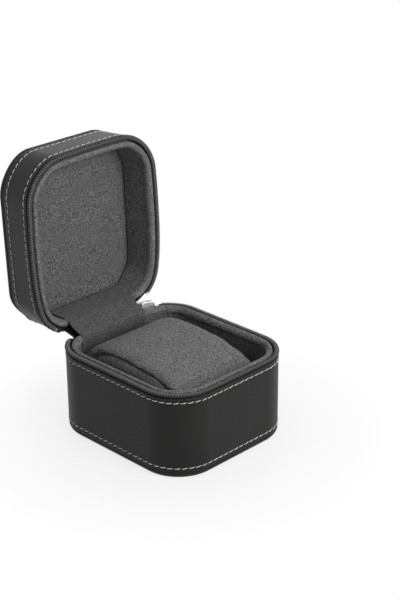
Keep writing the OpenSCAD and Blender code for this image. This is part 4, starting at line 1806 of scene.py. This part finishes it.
    def cover(self) -> Object:
        piece = mesh_piece("cushion_cover_suede", [Patch(self.form(1.4), round_v=True)], 80)
        self.swollen(piece)
        smooth = piece.modifiers.new("fine", "SUBSURF")
        smooth.levels = smooth.render_levels = 2
        self.apply(piece)
        self.settled(piece)
        piece.data.polygons.foreach_set("use_smooth", np.ones(len(piece.data.polygons), bool))
        return piece

    def end_panel(self, side: int) -> Object:
        """A gathered end panel: a low pad inside the seam, with creases from its edge.

        Its height along X is a crown that falls to the seam, plus the gathers fading
        towards the middle.

        Args:
            side: -1 for the left end, 1 for the right.

        Returns:
            The panel.
        """
        a = circle(160)
        share = np.concatenate([[0.0], np.linspace(0.08, 0.9, 14), [0.94, 0.97, 0.99, 1.0]])
        power = 2 / self.fullness
        c = filled_out(np.cos(a), power)
        s = filled_out(np.sin(a), power)
        half_y = (self.depth / 2 - 4) * self.seam
        half_z = np.where(s > 0, self.crown + self.tilt * half_y * c - 3, self.middle - 3)
        y = half_y * c[None, :] * share[:, None]
        z = self.low + self.middle + half_z[None, :] * self.seam * s[None, :] * share[:, None]
        crown = 1.5 * (1 - share ** 6) - 1.1 * share ** 12
        fold = self.gathers(a)[None, :] * 0.42 * (share ** 3 * (1 - share ** 14))[:, None]
        soft = 0.35 * np.sin(y * 0.16 + 0.6) * np.cos(z * 0.13) * (1 - share ** 2)[:, None]
        x = self.length / 2 + self.shoulder - 1.2 + crown[:, None] + fold + soft
        front = np.stack([side * x, y, z], -1)
        back = front[::-1].copy()
        back[..., 0] = side * (self.length / 2 + self.shoulder - 2.6)
        name = "cushion_end_left" if side < 0 else "cushion_end_right"
        return mesh_piece(name, [Patch(np.concatenate([front, back]), round_v=True)], 70)

    def build(self) -> None:
        """Builds and dresses the cushion."""
        cover = self.cover()
        dress(cover, CUSHION_SUEDE, Part.CUSHION, ["cushion_cover"])
        for side in (-1, 1):
            end = self.end_panel(side)
            dress(end, END_SUEDE, Part.CUSHION, ["cushion_end_panels"])


# ---- slider and pull


@dataclass
class Slider:
    """The slider with its bridge, link and tab, at its place on the back right corner.

    Attributes:
        angle: Its turn round the corner, from the back.
        length: Length of its plates along the rim.
        pull_out: How far out from the leather the pull hangs.
        link_z: Height at which the link hangs from the bridge.
        tab_z: Height at which the tab hangs from the link.
    """

    angle: float = 14.0
    length: float = 10.0
    pull_out: float = 2.45
    link_z: float = 48.2
    tab_z: float = 39.8

    def placed(self, out: Array, along: Array, z: Array, bent: bool) -> Array:
        """Brings slider shapes to the corner.

        A bent shape follows the corner's arc; a straight one stands square on it.

        Args:
            out: Distance out from the leather.
            along: Distance along the rim from the slider's middle, towards the hinge.
            z: Height.
            bent: Whether the shape follows the arc.

        Returns:
            Points.
        """
        heading = math.radians(90 - self.angle)
        out, along, z = np.broadcast_arrays(out, along, z)
        if bent:
            a = heading + along / PLAN.corner
            x, y = (PLAN.corner + out) * np.cos(a), (PLAN.corner + out) * np.sin(a)
        else:
            x = (PLAN.corner + out) * math.cos(heading) - along * math.sin(heading)
            y = (PLAN.corner + out) * math.sin(heading) + along * math.cos(heading)
        return np.stack([PLAN.half_x + x, PLAN.half_y + y, z], -1)

    def plate(self, inner: float, outer: float, low: float, high: float,
              nose: float) -> Patch:
        """A plate of the slider, rounded at its head and drawn in towards its tail.

        At each distance along the rim the section is a rounded bar whose half height is
        an ellipse at both ends, less the tail's draw.

        Args:
            inner: Inner face, out from the leather.
            outer: Outer face.
            low: Lower edge.
            high: Upper edge.
            nose: How much the tail is drawn in, as a share.

        Returns:
            The plate.
        """
        t = np.sin(np.linspace(-math.pi / 2, math.pi / 2, 25))
        end = np.sqrt(np.clip(1 - np.clip((np.abs(t) - 0.62) / 0.38, 0, 1) ** 2.2, 0.012, 1))
        half = (high - low) / 2 * end * (1 - nose * np.clip(-t, 0, 1) ** 1.5)
        a = circle(20)
        across = filled_out(np.cos(a), 0.5)
        up = filled_out(np.sin(a), 0.35)
        thick = (outer - inner) / 2
        out = (inner + outer) / 2 + thick * across[None, :] * np.minimum(1, half / thick)[:, None]
        z = (low + high) / 2 + half[:, None] * up[None, :]
        return Patch(self.placed(out, (t * self.length / 2)[:, None], z, True), round_v=True,
                     capped=True)

    def body(self) -> Object:
        """The slider's two plates and the wedge between them."""
        plates = [self.plate(0.82, 1.78, 46.05, 52.25, 0.3),
                  self.plate(-2.98, -2.5, 47.65, 51.95, 0.3)]
        a = circle(12)
        out = np.linspace(-2.6, 0.95, 6)
        z = FOLD.meet_z + 0.2 * np.sin(a)
        wedge = Patch(self.placed(out[:, None], 1.5 * np.cos(a), z, True), round_v=True,
                      capped=True)
        return mesh_piece("slider_plates", plates + [wedge], crease=50)

    def bridge(self) -> Object:
        """The bridge: a bar with rounded edges, bent into a flat arch over the plate."""
        path = smooth_line([(1.85, 46.55), (2.7, 46.5), (3.35, 46.85), (3.5, 47.8), (3.5, 49.6),
                            (3.3, 50.5), (2.7, 50.9), (1.85, 50.9)], 30)
        slope = unit(np.gradient(path, axis=0))
        a = circle(16)
        thick = 0.38 * filled_out(np.cos(a), 0.6)
        wide = 1.1 * filled_out(np.sin(a), 0.5)
        out = path[:, :1] + slope[:, 1:] * thick[None, :]
        z = path[:, 1:] - slope[:, :1] * thick[None, :]
        return mesh_piece("slider_arch", [Patch(self.placed(out, wide[None, :], z, False),
                                                round_v=True, capped=True)], crease=60)

    def link(self) -> Object:
        """The link: a wire bent into a long ring, a little flattened."""
        t = circle(64)
        wide = 2.4 * filled_out(np.cos(t), 0.45)
        high = 4.2 * filled_out(np.sin(t), 0.32)
        ring = np.stack([wide, (self.link_z + self.tab_z) / 2 + high], -1)
        slope = unit(np.roll(ring, -1, 0) - np.roll(ring, 1, 0))
        normal = np.stack([slope[:, 1], -slope[:, 0]], -1)
        a = circle(12)
        reach = 0.52 * np.cos(a)
        along = ring[:, :1] + normal[:, :1] * reach[None, :]
        z = ring[:, 1:] + normal[:, 1:] * reach[None, :]
        out = self.pull_out + 0.48 * np.sin(a)
        return mesh_piece("pull_ring", [Patch(self.placed(out, along, z, False), round_u=True,
                                              round_v=True)], crease=80)

    def tab(self) -> Object:
        """The tab: a flat frame round a window, a neck, and an eye round the ring's bar.

        The frame lies between an outer and an inner rounded outline, with one section,
        a flat bar with softened edges, between them.
        """
        t = circle(96)
        cos, sin = np.cos(t), np.sin(t)

        def rounded(half_w: float, half_h: float, middle: float, power: float) -> Array:
            """A rounded rectangle's outline."""
            return np.stack([half_w * filled_out(cos, power),
                             middle + half_h * filled_out(sin, power)], -1)

        outer = rounded(3.8, 5.2, self.tab_z - 9.3, 0.3)
        outer[:, 0] *= 1 - 0.12 * np.clip((outer[:, 1] - self.tab_z + 9.3) / 5.2, 0, 1)
        inner = rounded(1.7, 2.6, self.tab_z - 9.9, 0.3)
        v = np.array([0.0, 0.06, 0.2, 0.5, 0.8, 0.94, 1.0])
        edge = 0.6 * (1 - np.abs(2 * v - 1) ** 7) ** 0.6
        share = np.concatenate([v, v[::-1][1:-1]])[None, :, None]
        thick = np.concatenate([edge, -edge[::-1][1:-1]])
        mid = outer[:, None, :] * (1 - share) + inner[:, None, :] * share
        frame = self.placed(self.pull_out + thick[None, :], mid[..., 0], mid[..., 1], False)
        a = circle(24)
        ring = np.array([[1.15, -1.45], [1.15, 1.45], [1.0, 1.6], [0.68, 1.6], [0.6, 1.5],
                         [0.6, -1.5], [0.68, -1.6], [1.0, -1.6]])
        eye = self.placed(self.pull_out + ring[:, 0] * np.cos(a)[:, None], ring[:, 1],
                          self.tab_z + ring[:, 0] * np.sin(a)[:, None], False)
        z = np.linspace(self.tab_z - 0.95, self.tab_z - 4.6, 8)
        b = circle(16)
        wide = (1.6 + 0.35 * np.linspace(0, 1, 8) ** 2)[:, None] * filled_out(np.cos(b), 0.35)
        deep = 0.56 * filled_out(np.sin(b), 0.5)
        neck = self.placed(self.pull_out + deep, wide, z[:, None], False)
        return mesh_piece("pull_plate", [Patch(frame, round_u=True, round_v=True),
                                         Patch(eye, round_u=True, round_v=True),
                                         Patch(neck, round_v=True, capped=True)], crease=50)

    def build(self) -> None:
        """Builds and dresses the slider and its pull."""
        dress(self.body(), NICKEL, Part.SLIDER, ["slider_body"])
        dress(self.bridge(), LACQUER, Part.SLIDER, ["slider_bridge"])
        dress(self.link(), LACQUER, Part.LINK, ["pull_link"])
        dress(self.tab(), LACQUER, Part.TAB, ["pull_tab"])


# ---- stage


@dataclass
class Studio:
    """White floor, soft lamps and the photograph's camera.

    Attributes:
        place: The camera's place, in metres.
        heading: Direction it looks in, in degrees from +X.
        tilt: How far it looks up, in degrees.
        roll: How far it is rolled, in degrees.
        lens: Its focal length in millimetres, on a sensor 36 mm high.
        shift: Its shift, as shares of the frame.
        lamps: Name, place, size and power of each lamp.
    """

    place: tuple[float, float, float] = (-0.48656, -0.51039, 0.38993)
    heading: float = 45.707
    tilt: float = -23.99
    roll: float = -0.83
    lens: float = 86.44
    shift: tuple[float, float] = (0.0237, 0.0002)
    lamps: tuple[tuple[str, tuple[float, float, float], float, float], ...] = (
        ("front", (0.1, -1.2, 0.65), 0.8, 10.5), ("above", (-0.1, -0.2, 1.2), 0.6, 3.0),
        ("behind", (0.95, 0.75, 0.6), 0.5, 3.0))

    def camera(self) -> None:
        """Sets the camera: its axes come from the heading, the tilt and the roll."""
        data = bpy.data.cameras.new("camera")
        data.sensor_fit = "VERTICAL"
        data.sensor_height = 36.0
        data.lens = self.lens
        data.shift_x, data.shift_y = self.shift
        data.clip_start, data.clip_end = 0.01, 20.0
        camera = bpy.data.objects.new("camera", data)
        a, e, r = (math.radians(v) for v in (self.heading, self.tilt, self.roll))
        ahead = Vector((math.cos(a) * math.cos(e), math.sin(a) * math.cos(e), math.sin(e)))
        right = ahead.cross(Vector((0, 0, 1))).normalized()
        right.rotate(Matrix.Rotation(-r, 3, ahead))
        up = right.cross(ahead)
        turn = Matrix((right, up, -ahead)).transposed()
        camera.matrix_world = Matrix.Translation(Vector(self.place)) @ turn.to_4x4()
        bpy.context.scene.collection.objects.link(camera)
        bpy.context.scene.camera = camera

    def lamp(self, name: str, place: tuple[float, float, float], size: float,
             power: float) -> None:
        """Places a square soft lamp that points at the case."""
        data = bpy.data.lights.new(name, "AREA")
        data.size, data.energy = size, power
        lamp = bpy.data.objects.new(name, data)
        aim = Vector((0, 0.01, 0.06)) - Vector(place)
        lamp.matrix_world = (Matrix.Translation(Vector(place))
                             @ aim.to_track_quat("-Z", "Y").to_matrix().to_4x4())
        bpy.context.scene.collection.objects.link(lamp)

    @staticmethod
    def seen(shader: Shader) -> Socket:
        """1 for rays that show a surface: straight, mirrored or through glass."""
        ray = shader.add("ShaderNodeLightPath")
        return shader.calc("MAXIMUM", ray.outputs["Is Camera Ray"],
                           shader.calc("MAXIMUM", ray.outputs["Is Glossy Ray"],
                                       ray.outputs["Is Transmission Ray"]))

    def floor(self) -> None:
        """The floor: white where the camera sees it lit, with the case's shadow kept."""
        mesh = bpy.data.meshes.new("floor")
        reach, z = 6.0, -0.0003
        mesh.from_pydata([(-reach, -reach, z), (reach, -reach, z), (reach, reach, z),
                          (-reach, reach, z)], [], [(0, 1, 2, 3)])
        floor = bpy.data.objects.new("floor", mesh)
        bpy.context.scene.collection.objects.link(floor)
        made = bpy.data.materials.new("pale_floor")
        made.use_nodes = True
        made.node_tree.nodes.clear()
        shader = Shader(made.node_tree)
        matt = shader.add("ShaderNodeBsdfDiffuse", {"Color": (0.82, 0.82, 0.82, 1.0)})
        glow = shader.add("ShaderNodeEmission", {"Color": (1.0, 1.0, 1.0, 1.0), "Strength": 1.0})
        where = shader.add("ShaderNodeTexCoord").outputs["Object"]
        far = shader.add("ShaderNodeVectorMath", {0: where}, operation="LENGTH").outputs["Value"]
        share = shader.calc("MULTIPLY", self.seen(shader), shader.spread(far, 0.05, 0.12, 0.8, 1.0))
        mixed = shader.add("ShaderNodeMixShader", {0: share, 1: matt.outputs[0],
                                                   2: glow.outputs[0]})
        shader.add("ShaderNodeOutputMaterial", {"Surface": mixed.outputs[0]})
        mesh.materials.append(made)

    def world(self) -> None:
        """The surroundings: white where seen, softer where they only light the case."""
        world = bpy.data.worlds.new("studio")
        bpy.context.scene.world = world
        world.use_nodes = True
        world.node_tree.nodes.clear()
        shader = Shader(world.node_tree)
        soft = shader.add("ShaderNodeBackground", {"Color": (1, 1, 1, 1), "Strength": 0.16})
        white = shader.add("ShaderNodeBackground", {"Color": (1, 1, 1, 1), "Strength": 1.0})
        mixed = shader.add("ShaderNodeMixShader", {0: self.seen(shader), 1: soft.outputs[0],
                                                   2: white.outputs[0]})
        shader.add("ShaderNodeOutputWorld", {"Surface": mixed.outputs[0]})

    def build(self) -> None:
        """Sets up the stage."""
        self.camera()
        self.floor()
        self.world()
        for lamp in self.lamps:
            self.lamp(*lamp)
        bpy.context.scene.view_settings.view_transform = "Standard"


def keep_nodes(frame: dict) -> None:
    """Dresses the CAD nodes that stay: hidden boards and foams, and the end stops.

    Args:
        frame: The loaded frame.
    """
    finishes = {"board": BOARD, "foam": FOAM_PAINTED_SHADE, "pad": FOAM_PAINTED_SHADE, "core": FOAM_PAINTED_SHADE, "stops": NICKEL}
    replaced = {n for o in bpy.data.objects for n in o.get("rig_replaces", [])}
    for name, node in frame["nodes"].items():
        if name in replaced:
            continue
        finish = next((f for key, f in finishes.items() if key in name), BOARD)
        for slot in node.material_slots:
            slot.material = finish.material()
        LOG.info("%s: kept, %s", name, finish.name)


def main() -> None:
    """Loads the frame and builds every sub-assembly in order."""
    logging.basicConfig(level=logging.INFO, format="%(name)s %(message)s")
    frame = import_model()
    Studio().build()
    Base().build()
    Lid().build()
    HingeStrips().build()
    Cushion().build()
    Slider().build()
    keep_nodes(frame)


if __name__ == "__main__":
    main()
